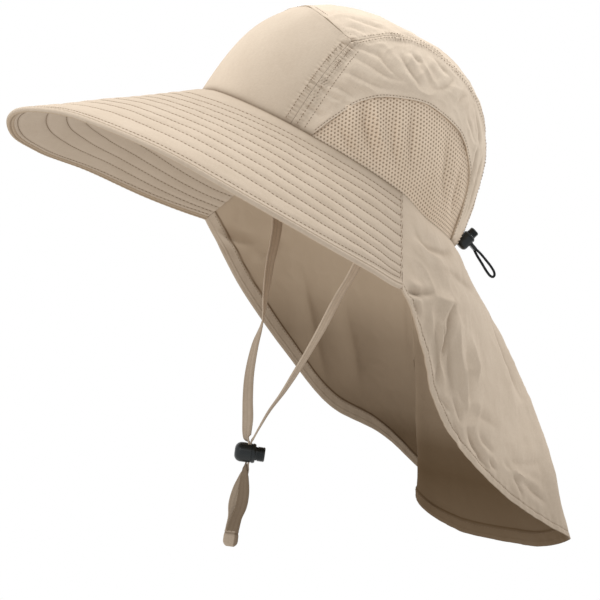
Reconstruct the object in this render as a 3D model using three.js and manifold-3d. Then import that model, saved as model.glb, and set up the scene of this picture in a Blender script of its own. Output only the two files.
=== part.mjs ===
// Flap sun hat: a wide stitched brim in front, a long neck flap behind, mesh vents in the crown's sides,
// a flat chin strap with a cord lock, and a rear elastic with a lock of its own.
// Millimetres, +Z up. The wearer looks along -Y and the wearer's left is +X.
// The origin is the centre of the head opening, and the hat sits tipped back, its front raised.
// Angles are in degrees. A turn runs round the crown: 0 in front, 90 left, 180 behind, 270 right.
// A rise climbs the crown: 0 at its seam with the brim, 90 at its top.
import * as THREE from "three";
import { mergeVertices } from "three/addons/utils/BufferGeometryUtils.js";
import Module from "manifold-3d";

// Head opening and crown
const headLength = 193;
const headWidth = 163;
const crownHeight = 95;
const crownSet = 9; // how far the top leans to the back
const baseDip = 9.5; // how far the crown's seam drops behind
const hatTilt = 23;
const clothWall = 1.2;
const seamGap = 0.4;

// Outline of the crown's sections: 2 is an ellipse, more is squarer
const squareFront = 2.8;
const squareSide = 2.8;
const squareBack = 1.95;

// Brim
const brimReach = 125;
const brimWall = 2.4;
const brimEnd = 94;
const bindingWidth = 5.2;
const bindingWall = 3.6;

// Neck flap
const flapLength = 236;
const flapWall = 1.2;
const hemWidth = 11;
const hemWall = 2.2;

// Chin strap
const strapDrop = 183; // from the crown's seam down to the lock
const strapFore = 29.2; // how far in front of its seam it hangs at the lock
const strapWidth = 8.5;
const strapWall = 1.2;
const strapPinch = 4.4; // its width inside the lock
const strapSeat = 14; // length sewn up inside the crown
const tailLength = 52; // below the lock
const tailLean = 4; // how far it swings to the front
const tabWidth = 9.5;
const tabLength = 9;
const tabWall = 3.2;

// Cord locks: a barrel, a button that slides in its bore, and a hole across both
const clearance = 0.3;
const chinLock = {
  radius: 6.25, length: 13.3, bore: 5, endWall: 2, tipWall: 1, travel: 4,
  standOut: 6, across: 5.2, bundle: 2 * strapWall + clearance, round: 4.2,
};
const cordDiameter = 1.7;
const rearLock = {
  radius: 4.5, length: 10.4, bore: 3.6, endWall: 1.6, tipWall: 0.8, travel: 3,
  standOut: 4.4, across: 4.2, bundle: cordDiameter, round: 2.6,
};

// How far the crown's seam lies below the front, as shares of baseDip
const baseRows = [
  { turn: 0, drop: 0 },
  { turn: 45, drop: 0.2 },
  { turn: 93, drop: 0.5 },
  { turn: 112, drop: 1 },
  { turn: 150, drop: 1 },
  { turn: 180, drop: 0.95 },
];

// The seam round the top strip, from the front corner back over the crown to its base
const stripRows = [
  { share: 0, turn: 44, rise: 36 },
  { share: 0.12, turn: 56, rise: 48.5 },
  { share: 0.27, turn: 78, rise: 55.5 },
  { share: 0.41, turn: 104, rise: 51 },
  { share: 0.58, turn: 128, rise: 42 },
  { share: 0.78, turn: 143, rise: 24 },
  { share: 1, turn: 150, rise: 0 },
];

// The arched edge of a mesh window, from its front tip to its back tip
const archRows = [
  { share: 0, turn: 52, rise: 0 },
  { share: 0.1, turn: 56, rise: 10 },
  { share: 0.19, turn: 60.5, rise: 19 },
  { share: 0.3, turn: 70, rise: 26.3 },
  { share: 0.46, turn: 88, rise: 31.6 },
  { share: 0.59, turn: 103, rise: 31.2 },
  { share: 0.7, turn: 115, rise: 26.8 },
  { share: 0.8, turn: 124, rise: 20 },
  { share: 0.9, turn: 130.5, rise: 10 },
  { share: 1, turn: 136.5, rise: 0 },
];
const frontSeamTurn = 44;
const frontSeamRise = 46; // where the seam over the front crosses the middle

// Brim width, as shares of brimReach, and how steeply it falls, in degrees
const brimRows = [
  { turn: -94, reach: 0.605, slope: 41.6 },
  { turn: -80, reach: 0.748, slope: 37.6 },
  { turn: -64, reach: 0.871, slope: 35 },
  { turn: -48, reach: 0.954, slope: 36.5 },
  { turn: -32, reach: 0.97, slope: 38 },
  { turn: -16, reach: 0.968, slope: 36.2 },
  { turn: 0, reach: 0.983, slope: 33.6 },
  { turn: 16, reach: 0.98, slope: 30.8 },
  { turn: 32, reach: 0.972, slope: 30.2 },
  { turn: 48, reach: 0.932, slope: 32.2 },
  { turn: 64, reach: 0.847, slope: 35.7 },
  { turn: 80, reach: 0.718, slope: 41.2 },
  { turn: 94, reach: 0.568, slope: 50.8 },
];

// The flap's hem, measured from the crown's seam at the same turn, as shares of flapLength:
// left, back and down. The bulge stands out half way down. Turns 190 to 210 hold the folded back corner.
const hemRows = [
  { turn: 94, left: 0.198, back: -0.086, down: 0.22, bulge: 0 },
  { turn: 102, left: 0.205, back: -0.07, down: 0.29, bulge: 0.03 },
  { turn: 112, left: 0.201, back: -0.065, down: 0.385, bulge: 0.06 },
  { turn: 122, left: 0.194, back: -0.026, down: 0.482, bulge: 0.06 },
  { turn: 132, left: 0.182, back: 0.05, down: 0.562, bulge: 0.05 },
  { turn: 144, left: 0.157, back: 0.177, down: 0.647, bulge: 0.045 },
  { turn: 157, left: 0.094, back: 0.385, down: 0.738, bulge: 0.042 },
  { turn: 168, left: 0.05, back: 0.52, down: 0.8, bulge: 0.044 },
  { turn: 180, left: -0.1, back: 0.53, down: 0.868, bulge: 0.042 },
  { turn: 190, left: -0.235, back: 0.455, down: 0.886, bulge: 0.03 },
  { turn: 196, left: -0.278, back: 0.401, down: 0.866, bulge: 0.02 },
  { turn: 200, left: -0.286, back: 0.357, down: 0.825, bulge: 0.012 },
  { turn: 203.5, left: -0.295, back: 0.415, down: 0.8, bulge: 0.012 },
  { turn: 206.5, left: -0.325, back: 0.455, down: 0.775, bulge: 0.01 },
  { turn: 210, left: -0.338, back: 0.42, down: 0.74, bulge: 0.015 },
  { turn: 218, left: -0.313, back: 0.308, down: 0.661, bulge: 0.03 },
  { turn: 226, left: -0.29, back: 0.194, down: 0.617, bulge: 0.045 },
  { turn: 239, left: -0.263, back: 0.076, down: 0.482, bulge: 0.055 },
  { turn: 253, left: -0.246, back: -0.036, down: 0.306, bulge: 0.04 },
  { turn: 266, left: -0.236, back: -0.073, down: 0.196, bulge: 0 },
];

// The chin strap's two halves, from the crown's seam to the lock. down and fore are shares of strapDrop
// and strapFore, side of the half width at the seam. face is the way the tape's width points, in plan.
const leftStrapRows = [
  { side: 0.93, fore: 0.06, down: 0.09, face: 93, width: 1 },
  { side: 0.756, fore: 0.22, down: 0.297, face: 80, width: 1 },
  { side: 0.68, fore: 0.38, down: 0.391, face: 75, width: 1 },
  { side: 0.58, fore: 0.574, down: 0.528, face: 70, width: 1 },
  { side: 0.466, fore: 0.777, down: 0.659, face: 50, width: 1 },
  { side: 0.353, fore: 0.908, down: 0.757, face: 20, width: 0.9 },
  { side: 0.24, fore: 0.99, down: 0.828, face: -5, width: 0.8 },
  { side: 0.13, fore: 1, down: 0.893, face: -20, width: 0.65 },
  { side: 0.05, fore: 1, down: 0.942, face: -29, width: 0.54 },
];
const rightStrapRows = [
  { side: 0.89, fore: 0.02, down: 0.07, face: 90, width: 1 },
  { side: 0.655, fore: 0.078, down: 0.222, face: 105, width: 1 },
  { side: 0.479, fore: 0.386, down: 0.368, face: 115, width: 1 },
  { side: 0.378, fore: 0.54, down: 0.468, face: 130, width: 1 },
  { side: 0.302, fore: 0.645, down: 0.555, face: 150, width: 1 },
  { side: 0.214, fore: 0.88, down: 0.637, face: 195, width: 1 },
  { side: 0.139, fore: 1.035, down: 0.735, face: 225, width: 1 },
  { side: 0.088, fore: 1.07, down: 0.817, face: 240, width: 1 },
  { side: 0.06, fore: 1.05, down: 0.88, face: 225, width: 0.95 },
  { side: 0.04, fore: 1.035, down: 0.94, face: 156, width: 0.56 },
];

// The tail below the lock, as shares of tailLength. The two tapes roll together from edge-on to flat,
// and slide apart along their width by a share of strapWidth. apart is the gap between their middles.
const tailRows = [
  { down: 0.18, roll: 6, slide: 0.02, apart: 1.9, width: 0.54 },
  { down: 0.32, roll: 36, slide: 0.16, apart: 2.6, width: 0.75 },
  { down: 0.5, roll: 66, slide: 0.3, apart: 2.8, width: 0.85 },
  { down: 0.66, roll: 82, slide: 0.3, apart: 2.5, width: 0.85 },
  { down: 0.82, roll: 90, slide: 0.12, apart: 1.8, width: 0.85 },
  { down: 1, roll: 90, slide: 0.04, apart: 1.6, width: 0.9 },
];

// The rear elastic's route, from one hole in the crown's back through the lock, round its loop and back
const cordOut = [
  [16.6, 90.6, -31.2],
  [16.8, 91.9, -32.5],
];
const loopRows = [
  { along: 8, side: 1.1, fall: 0 },
  { along: 13, side: 1.7, fall: 0.4 },
  { along: 19, side: 2.6, fall: 1 },
  { along: 25, side: 3, fall: 1.8 },
  { along: 28.8, side: 2.3, fall: 2.4 },
  { along: 30.3, side: 0.9, fall: 2.7 },
];

const colours = { cloth: 0xcdb89c, mesh: 0xbfab90, lock: 0x15191c, cord: 0x1b1f22 };

const rad = (degrees) => THREE.MathUtils.degToRad(degrees);
const vec = (x, y, z) => new THREE.Vector3(x, y, z);
const up = vec(0, 0, 1);
const { clamp, lerp } = THREE.MathUtils;

// Reads a column of a table at a key, along a smooth curve that never overshoots its rows
function read(rows, key, column, at) {
  const x = rows.map((row) => row[key]);
  const y = rows.map((row) => row[column]);
  const slopes = x.slice(1).map((end, i) => (y[i + 1] - y[i]) / (end - x[i]));
  const lean = (i) => {
    const before = slopes[Math.max(i - 1, 0)];
    const after = slopes[Math.min(i, slopes.length - 1)];
    return before * after > 0 ? (2 * before * after) / (before + after) : 0;
  };
  const place = clamp(at, x[0], x[x.length - 1]);
  const i = Math.max(0, x.findIndex((end, k) => k > 0 && place <= end) - 1);
  const span = x[i + 1] - x[i];
  const t = (place - x[i]) / span;
  return (
    y[i] * (1 + 2 * t) * (1 - t) ** 2 + lean(i) * span * t * (1 - t) ** 2 +
    y[i + 1] * t * t * (3 - 2 * t) + lean(i + 1) * span * t * t * (t - 1)
  );
}

// A closed solid from two grids of points with the same rows and columns
function shell(outer, inner) {
  const rows = outer.length;
  const columns = outer[0].length;
  const points = [...outer.flat(), ...inner.flat()];
  const at = (side, i, j) => side * rows * columns + i * columns + j;
  const index = [];
  const quad = (a, b, c, d) => index.push(a, b, c, a, c, d);
  for (let i = 0; i < rows - 1; i += 1) {
    for (let j = 0; j < columns - 1; j += 1) {
      quad(at(0, i, j), at(0, i, j + 1), at(0, i + 1, j + 1), at(0, i + 1, j));
      quad(at(1, i + 1, j), at(1, i + 1, j + 1), at(1, i, j + 1), at(1, i, j));
    }
    quad(at(0, i + 1, 0), at(1, i + 1, 0), at(1, i, 0), at(0, i, 0));
    const last = columns - 1;
    quad(at(0, i, last), at(1, i, last), at(1, i + 1, last), at(0, i + 1, last));
  }
  for (let j = 0; j < columns - 1; j += 1) {
    quad(at(0, 0, j), at(1, 0, j), at(1, 0, j + 1), at(0, 0, j + 1));
    const last = rows - 1;
    quad(at(0, last, j + 1), at(1, last, j + 1), at(1, last, j), at(0, last, j));
  }
  return closed(points, index);
}

// A closed solid through a row of sections, each a ring of points
function loft(rings) {
  const sides = rings[0].length;
  const index = [];
  for (let i = 0; i < rings.length - 1; i += 1) {
    for (let j = 0; j < sides; j += 1) {
      const next = (j + 1) % sides;
      const a = i * sides;
      const b = a + sides;
      index.push(a + j, a + next, b + next, a + j, b + next, b + j);
    }
  }
  const end = (rings.length - 1) * sides;
  for (let j = 1; j < sides - 1; j += 1) {
    index.push(0, j + 1, j, end, end + j, end + j + 1);
  }
  return closed(rings.flat(), index);
}

// A geometry from points and triangles, turned so that its faces point out
function closed(points, index) {
  let volume = 0;
  for (let i = 0; i < index.length; i += 3) {
    const [a, b, c] = [points[index[i]], points[index[i + 1]], points[index[i + 2]]];
    volume += a.dot(b.clone().cross(c));
  }
  const places = points.flatMap((point) => point.toArray());
  const geometry = new THREE.BufferGeometry();
  geometry.setAttribute("position", new THREE.Float32BufferAttribute(places, 3));
  geometry.setIndex(volume < 0 ? [...index].reverse() : index);
  geometry.computeVertexNormals();
  return geometry;
}

const wasm = await Module();
wasm.setup();

function solid(geometry) {
  const plain = geometry.clone();
  plain.deleteAttribute("normal");
  plain.deleteAttribute("uv");
  const merged = mergeVertices(plain, 1e-4);
  return new wasm.Manifold(new wasm.Mesh({
    numProp: 3,
    vertProperties: new Float32Array(merged.attributes.position.array),
    triVerts: new Uint32Array(merged.index.array),
  }));
}

function geometryOf(body) {
  const mesh = body.getMesh();
  const geometry = new THREE.BufferGeometry();
  geometry.setAttribute("position", new THREE.Float32BufferAttribute(mesh.vertProperties, 3));
  geometry.setIndex([...mesh.triVerts]);
  geometry.computeVertexNormals();
  return geometry;
}

// Crown: its outer surface at a turn and a rise. Below a rise of 0 it runs straight down.
function crownPoint(turn, rise) {
  const facing = Math.cos(rad(turn));
  const front = Math.max(facing, 0) ** 2;
  const back = Math.max(-facing, 0) ** 2;
  const power = squareSide + (squareFront - squareSide) * front + (squareBack - squareSide) * back;
  const lift = rad(clamp(rise, 0, 90));
  const size = (Math.cos(lift) ** power + Math.sin(lift) ** power) ** (1 / power);
  const out = Math.cos(lift) / size;
  const high = rise < 0 ? rad(rise) : Math.sin(lift) / size;
  const around = ((((turn + 180) % 360) + 360) % 360) - 180;
  const base = -baseDip * read(baseRows, "turn", "drop", Math.abs(around));
  return vec(
    (headWidth / 2) * Math.sin(rad(turn)) * out,
    (-headLength / 2) * facing * out + crownSet * Math.max(high, 0),
    base + (crownHeight - base) * high,
  );
}

// The same surface on a flat chart with the crown's top at its centre
const chart = (turn, rise) => new THREE.Vector2(
  (1 - rise / 90) * Math.sin(rad(turn)),
  (1 - rise / 90) * Math.cos(rad(turn)),
);
const crownChart = (spot) => {
  const turn = THREE.MathUtils.radToDeg(Math.atan2(spot.x, spot.y));
  return crownPoint(turn, 90 * (1 - spot.length()));
};

function crownNormal(spot) {
  const step = 0.002;
  const along = (dx, dy) => crownChart(spot.clone().add(new THREE.Vector2(dx, dy)));
  const across = along(step, 0).sub(along(-step, 0));
  const down = along(0, step).sub(along(0, -step));
  return down.cross(across).normalize();
}

// A point of a seam, moved sideways off it by a shift in degrees
function seamPoint(rows, share, shift) {
  const at = (s) => new THREE.Vector2(read(rows, "share", "turn", s), read(rows, "share", "rise", s));
  const step = 0.004;
  const along = at(Math.min(share + step, 1)).sub(at(Math.max(share - step, 0))).normalize();
  const spot = at(share);
  return { turn: spot.x - along.y * shift, rise: spot.y + along.x * shift };
}

const crownDegree = rad(1) * (headLength + headWidth) / 4;
const halfGap = seamGap / 2 / crownDegree;
const skirtRise = -(brimWall + 1.2) / (rad(1) * crownHeight);
const counted = (count, make) => Array.from({ length: count + 1 }, (_, i) => make(i / count, i));

// A cloth panel of the crown from a grid of places on it
function crownPanel(places) {
  const outer = places.map((row) => row.map(({ turn, rise }) => crownPoint(turn, rise)));
  const inner = places.map((row, i) => row.map(({ turn, rise }, j) => (
    outer[i][j].clone().addScaledVector(crownNormal(chart(turn, rise)), -clothWall)
  )));
  return shell(outer, inner);
}

const between = (a, b, t) => ({ turn: lerp(a.turn, b.turn, t), rise: lerp(a.rise, b.rise, t) });
const frontTop = (turn) => (
  frontSeamRise + (stripRows[0].rise + 1 - frontSeamRise) * (Math.abs(turn) / frontSeamTurn) ** 1.2
);

function crownFront() {
  const half = frontSeamTurn - halfGap;
  return crownPanel(counted(16, (across) => counted(8, (climb) => {
    const turn = lerp(-half, half, across);
    return { turn, rise: lerp(skirtRise, frontTop(turn) - halfGap, climb) };
  })));
}

function crownTop() {
  const edge = (share) => {
    const seam = seamPoint(stripRows, share, halfGap);
    return share < 1 ? seam : { turn: seam.turn, rise: skirtRise };
  };
  const last = stripRows[stripRows.length - 1].turn + halfGap;
  const spot = ({ turn, rise }) => chart(turn, rise);
  const front = (across) => {
    const turn = lerp(frontSeamTurn - halfGap, halfGap - frontSeamTurn, across);
    return spot({ turn, rise: frontTop(turn) + halfGap });
  };
  const back = (across) => spot({ turn: lerp(last, 360 - last, across), rise: skirtRise });
  const left = (share) => (share > 0 ? spot(edge(share)) : front(0));
  const mirrored = (place) => new THREE.Vector2(-place.x, place.y);
  const patch = (across, share) => {
    const [a, b] = [left(share), mirrored(left(share))];
    const [c, d] = [front(across), back(across)];
    const mix = (p, q, t) => p.clone().lerp(q, t);
    const corners = mix(mix(front(0), front(1), across), mix(back(0), back(1), across), share);
    return mix(a, b, across).add(mix(c, d, share)).sub(corners);
  };
  const spots = counted(20, (share) => counted(10, (across) => patch(across, share)));
  const outer = spots.map((row) => row.map(crownChart));
  const inner = spots.map((row, i) => row.map((place, j) => (
    outer[i][j].clone().addScaledVector(crownNormal(place), -clothWall)
  )));
  return shell(outer, inner);
}

const archSteps = 16;

// The side of the crown, round the mesh window and under the top strip. side is 1 left and -1 right.
function crownSide(side) {
  const first = archRows[0].turn - halfGap;
  const last = archRows[archRows.length - 1].turn + halfGap;
  const below = [
    { turn: frontSeamTurn + halfGap, rise: skirtRise },
    { turn: lerp(frontSeamTurn, first, 0.5), rise: skirtRise },
    { turn: first, rise: skirtRise },
    ...counted(archSteps, (share) => seamPoint(archRows, share, halfGap)),
    { turn: last, rise: skirtRise },
  ];
  const final = stripRows[stripRows.length - 1].turn - halfGap;
  const above = below.map((_, i) => {
    const share = (i / (below.length - 1)) ** 1.15;
    if (i === 0) {
      return { turn: frontSeamTurn + halfGap, rise: stripRows[0].rise };
    }
    return share < 1 ? seamPoint(stripRows, share, -halfGap) : { turn: final, rise: skirtRise };
  });
  return crownPanel(below.map((low, i) => counted(6, (climb) => {
    const place = between(low, above[i], climb);
    return { turn: side * place.turn, rise: place.rise };
  })));
}

function meshWindow(side) {
  const first = archRows[0].turn + halfGap;
  const last = archRows[archRows.length - 1].turn - halfGap;
  return crownPanel(counted(archSteps, (share) => counted(6, (climb) => {
    const place = between({ turn: lerp(first, last, share), rise: skirtRise },
      seamPoint(archRows, share, -halfGap), climb);
    return { turn: side * place.turn, rise: place.rise };
  })));
}

// Brim: straight lines out of the crown's seam, falling at the slope of each turn
const outward = (turn) => (
  vec(Math.sin(rad(turn)) / headWidth, -Math.cos(rad(turn)) / headLength, 0).normalize()
);
const brimReachAt = (turn) => brimReach * read(brimRows, "turn", "reach", turn);
const brimSlopeAt = (turn) => rad(read(brimRows, "turn", "slope", turn));

function brimPoint(turn, distance) {
  const slope = brimSlopeAt(turn);
  return crownPoint(turn, 0)
    .addScaledVector(outward(turn), seamGap + distance * Math.cos(slope))
    .addScaledVector(up, -distance * Math.sin(slope));
}

// The way the brim's thickness points: straight up beside the crown, square to its slope further out
function brimDepth(turn, share) {
  const slope = brimSlopeAt(turn);
  const square = up.clone().multiplyScalar(Math.cos(slope)).addScaledVector(outward(turn), Math.sin(slope));
  const way = up.clone().lerp(square, Math.min(3 * share, 1)).normalize();
  return way.multiplyScalar(1 / way.dot(square));
}

const brimStations = 44;

function brim() {
  const rows = counted(brimStations, (along) => counted(5, (share) => {
    const turn = lerp(-brimEnd, brimEnd, along);
    const width = brimReachAt(turn) - bindingWidth - seamGap;
    const top = brimPoint(turn, width * share);
    return { top, under: top.clone().addScaledVector(brimDepth(turn, share), -brimWall) };
  }));
  return shell(rows.map((row) => row.map((p) => p.top)), rows.map((row) => row.map((p) => p.under)));
}

// The rolled binding along the rim, an oval section
function brimBinding() {
  const corners = 8;
  return loft(counted(brimStations, (along) => {
    const turn = lerp(-brimEnd, brimEnd, along);
    const square = brimDepth(turn, 1);
    const run = brimPoint(turn, 1).sub(brimPoint(turn, 0));
    const middle = brimPoint(turn, brimReachAt(turn) - bindingWidth / 2)
      .addScaledVector(square, -brimWall / 2);
    return Array.from({ length: corners }, (_, k) => {
      const angle = rad((360 * (k + 0.5)) / corners);
      const swell = 1 / Math.cos(rad(180 / corners));
      return middle.clone()
        .addScaledVector(run, (bindingWidth / 2) * Math.cos(angle) * swell)
        .addScaledVector(square, (bindingWall / 2) * Math.sin(angle) * swell);
    });
  }));
}

// Everything below is placed in the upright frame, so points of the crown and brim are tilted first
const tilt = (point) => point.clone().applyAxisAngle(vec(1, 0, 0), rad(-hatTilt));
const flapEnds = [brimEnd, 360 - brimEnd];

// The brim counts its turns from -180 to 180, the flap from 0 to 360
const signed = (turn) => (turn > 180 ? turn - 360 : turn);

// Along an end seam the flap lies a seam's gap behind the brim's end
function seamEnd(turn, distance) {
  const at = signed(turn);
  const square = brimDepth(at, 1).cross(outward(at)).normalize();
  const behind = square.y > 0 ? square : square.negate();
  return tilt(brimPoint(at, distance).addScaledVector(behind, seamGap));
}

// How strongly a turn is drawn to an end seam that lies within so many degrees
const nearEnd = (turn, end, within) => Math.max(0, 1 - Math.abs(turn - end) / within) ** 2;

function flapFoot(turn) {
  const onCrown = tilt(crownPoint(turn, 0).addScaledVector(outward(turn), seamGap));
  return flapEnds.reduce((foot, end) => {
    const seam = seamEnd(end, 0).sub(tilt(brimPoint(signed(end), 0)));
    return foot.addScaledVector(seam, nearEnd(turn, end, 8));
  }, onCrown);
}

function flapHem(turn) {
  const hem = (at) => flapFoot(at).add(vec(
    flapLength * read(hemRows, "turn", "left", at),
    flapLength * read(hemRows, "turn", "back", at),
    -flapLength * read(hemRows, "turn", "down", at),
  ));
  return flapEnds.reduce((moved, end) => {
    const corner = seamEnd(end, brimReachAt(signed(end)));
    return moved.addScaledVector(corner.sub(hem(end)), nearEnd(turn, end, 22));
  }, hem(turn));
}

// The flap's outer surface: from the crown's seam to the hem, bulged out between them
function flapPoint(turn, drop) {
  const foot = flapFoot(turn);
  const hem = flapHem(turn);
  const run = hem.clone().sub(foot);
  const round = flapFoot(turn + 0.5).sub(flapFoot(turn - 0.5))
    .add(flapHem(turn + 0.5)).sub(flapHem(turn - 0.5));
  const out = round.cross(run).normalize().negate();
  const bulge = flapLength * read(hemRows, "turn", "bulge", turn);
  return foot.lerp(hem, drop).addScaledVector(out, 4 * drop * (1 - drop) * bulge);
}

function flapNormal(turn, drop) {
  const low = clamp(drop, 0.01, 0.99);
  const at = clamp(turn, flapEnds[0] + 0.6, flapEnds[1] - 0.6);
  const round = flapPoint(at + 0.5, low).sub(flapPoint(at - 0.5, low));
  const fall = flapPoint(at, low + 0.01).sub(flapPoint(at, low - 0.01));
  return round.cross(fall).normalize().negate();
}

// Turns that space the flap's columns evenly along its hem
function evenTurns(count) {
  const fine = counted(400, (share) => lerp(flapEnds[0], flapEnds[1], share));
  const points = fine.map(flapHem);
  const reach = points.map(() => 0);
  points.forEach((point, i) => {
    reach[i] = i ? reach[i - 1] + point.distanceTo(points[i - 1]) : 0;
  });
  return counted(count, (share) => {
    const goal = share * reach[reach.length - 1];
    const i = Math.max(1, reach.findIndex((length) => length >= goal - 1e-9));
    return lerp(fine[i - 1], fine[i], (goal - reach[i - 1]) / (reach[i] - reach[i - 1]));
  });
}

function neckFlap() {
  const hatUp = tilt(up);
  const columns = evenTurns(60).map((turn) => {
    const length = flapFoot(turn).distanceTo(flapHem(turn));
    const hemTop = 1 - hemWidth / length;
    const drops = [...counted(10, (share) => share * (hemTop - 1 / length)), hemTop, 1];
    return drops.map((drop, k) => {
      const top = flapPoint(turn, drop);
      const normal = flapNormal(turn, drop);
      let way = normal.clone().lerp(hatUp, Math.max(0, 1 - drop / 0.15)).normalize();
      flapEnds.forEach((end) => {
        const brimWay = tilt(brimDepth(signed(end), drop)).normalize();
        way = way.lerp(brimWay, nearEnd(turn, end, 6)).normalize();
      });
      const wall = k > 10 ? hemWall : flapWall;
      const depth = wall / Math.max(way.dot(normal), 0.5);
      return { top, under: top.clone().addScaledVector(way, -depth) };
    });
  });
  return shell(columns.map((row) => row.map((p) => p.top)), columns.map((row) => row.map((p) => p.under)));
}

// A flat tape through rows of { at, face, width }, its width turned to the face angle in plan
function tape(rows, steps) {
  const curve = new THREE.CatmullRomCurve3(rows.map((row) => row.at), false, "centripetal");
  const keyed = rows.map((row, i) => ({ ...row, share: i / (rows.length - 1) }));
  return loft(counted(steps, (share) => {
    const middle = curve.getPoint(share);
    const tangent = curve.getTangent(share);
    const face = rad(read(keyed, "share", "face", share));
    const across = vec(Math.cos(face), Math.sin(face), 0);
    across.addScaledVector(tangent, -across.dot(tangent)).normalize();
    const through = tangent.clone().cross(across).normalize();
    const half = (read(keyed, "share", "width", share) * strapWidth) / 2;
    return [[1, 1], [-1, 1], [-1, -1], [1, -1]].map(([a, b]) => (
      middle.clone().addScaledVector(across, a * half).addScaledVector(through, (b * strapWall) / 2)
    ));
  }));
}

const lockTurn = 60; // the chin lock's axis in plan, from +X towards +Y
const planWay = (turn) => vec(Math.cos(rad(turn)), Math.sin(rad(turn)), 0);
const strapTurn = 90;
const strapInset = clothWall + 3.5 * clearance + strapWall / 2;
const insideCrown = (rise) => (
  tilt(crownPoint(strapTurn, rise).addScaledVector(outward(strapTurn), -strapInset))
);
const seamInside = () => insideCrown(0);
const chinLockAt = () => vec(0, seamInside().y - strapFore, seamInside().z - strapDrop);

// One half of the chin strap: sewn inside the crown, down to the lock, through it and on to the tab.
// side is 1 left and -1 right, and sits on its own side of the lock's hole.
function chinStrap(side, rows) {
  const seat = seamInside();
  const climb = insideCrown(9).sub(seat).normalize();
  const lock = chinLockAt();
  const pinch = strapPinch / strapWidth;
  const edgeOn = lockTurn - 90;
  const mirror = (p) => vec(side * p.x, p.y, p.z);
  const swing = (drop) => (tailLean * Math.max(0, drop - chinLock.radius)) / (tailLength - chinLock.radius);
  const rolled = (drop, { roll, slide, apart, width }) => ({
    at: lock.clone().addScaledVector(up, -drop).addScaledVector(planWay(lockTurn), -swing(drop))
      .addScaledVector(planWay(edgeOn + roll + 90), (side * apart) / 2)
      .addScaledVector(planWay(edgeOn + roll), -side * slide * strapWidth),
    face: edgeOn + roll + (side < 0 ? 180 : 0),
    width,
  });
  const held = { roll: 0, slide: 0, apart: strapWall + clearance, width: pinch };
  const alongWall = 90;
  const leaving = 5;
  const path = [
    ...[strapSeat, strapSeat / 2, 0].map((height) => (
      { at: mirror(seat.clone().addScaledVector(climb, height)), face: alongWall, width: 1 }
    )),
    { at: mirror(seat.clone().addScaledVector(climb, -leaving)), face: alongWall, width: 1 },
    ...rows.map((row) => ({
      at: vec(side * seat.x * row.side, seat.y - strapFore * row.fore, seat.z - strapDrop * row.down),
      face: row.face,
      width: row.width,
    })),
    rolled(-chinLock.radius - 0.6, held),
    rolled(0, held),
    rolled(chinLock.radius + 0.6, held),
    ...tailRows.map((row) => rolled(tailLength * row.down, row)),
  ];
  return tape(path, 44);
}

// The folded and stitched end that joins the strap's two halves
function strapEnd() {
  const top = chinLockAt().z - tailLength - 3 * clearance;
  const outline = new THREE.Shape();
  const half = tabWidth / 2;
  const corner = 1.5;
  outline.moveTo(-half, -tabLength + corner);
  outline.absarc(-half + corner, -tabLength + corner, corner, Math.PI, 1.5 * Math.PI, false);
  outline.absarc(half - corner, -tabLength + corner, corner, 1.5 * Math.PI, 2 * Math.PI, false);
  outline.lineTo(half, 0);
  outline.lineTo(-half, 0);
  const tab = new THREE.ExtrudeGeometry(outline, { depth: tabWall, bevelEnabled: false, curveSegments: 3 });
  tab.translate(0, 0, -tabWall / 2);
  tab.rotateX(Math.PI / 2);
  tab.rotateZ(rad(lockTurn));
  const at = chinLockAt().addScaledVector(planWay(lockTurn), -tailLean);
  tab.translate(at.x, at.y, top);
  return tab;
}

// A cord lock along +X, its cords running along Z through the origin
function lockPlaces(lock) {
  const tip = lock.endWall + clearance + lock.travel;
  const hole = tip + lock.tipWall + clearance + lock.bundle / 2;
  return { tip, hole, slot: tip + lock.tipWall, slotLength: lock.bundle + lock.travel + 2 * clearance };
}

function turned(profile, sides) {
  const lathe = new THREE.LatheGeometry(profile.map(([r, a]) => new THREE.Vector2(r, a)), sides);
  lathe.rotateZ(-Math.PI / 2);
  return lathe;
}

function crossCut(lock, start, length) {
  const box = new THREE.BoxGeometry(length, lock.across, 4 * lock.radius);
  box.translate(start + length / 2, 0, 0);
  return solid(box);
}

function lockBody(lock) {
  const { hole } = lockPlaces(lock);
  const rounding = counted(3, (share) => [
    lock.radius - lock.round * (1 - Math.sin(rad(90 * share))),
    lock.round * (1 - Math.cos(rad(90 * share))),
  ]);
  const groove = lock.length * 0.8;
  const barrel = turned([
    [0, 0], ...rounding, [lock.radius, groove], [lock.radius * 0.95, groove + 0.3],
    [lock.radius, groove + 0.6], [lock.radius, lock.length - 0.6],
    [lock.radius - 0.6, lock.length], [0, lock.length],
  ], 20);
  const bore = turned([
    [0, lock.endWall], [lock.bore, lock.endWall], [lock.bore, lock.length + 1], [0, lock.length + 1],
  ], 20);
  const long = lock.bundle + 2 * clearance;
  const body = solid(barrel).subtract(solid(bore)).subtract(crossCut(lock, hole - long / 2, long));
  const geometry = geometryOf(body);
  geometry.translate(-hole, 0, 0);
  return geometry;
}

function lockButton(lock) {
  const { tip, hole, slot, slotLength } = lockPlaces(lock);
  const radius = lock.bore - clearance;
  const end = lock.length + lock.standOut;
  const plunger = turned([
    [0, tip], [radius, tip], [radius, end - 0.7], [radius - 0.7, end], [0, end],
  ], 20);
  const geometry = geometryOf(solid(plunger).subtract(crossCut(lock, slot, slotLength)));
  geometry.translate(-hole, 0, 0);
  return geometry;
}

// The rear lock: its axis points up and back, and its cords run back and down
const rearLockAt = vec(17.6, 97.6, -38.2);
const rearAxis = vec(0.15, 0.63, 0.76).normalize();
const rearRun = vec(0.1, 0.7, -0.7);
rearRun.addScaledVector(rearAxis, -rearRun.dot(rearAxis)).normalize();
const rearSide = rearRun.clone().cross(rearAxis).normalize();

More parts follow.
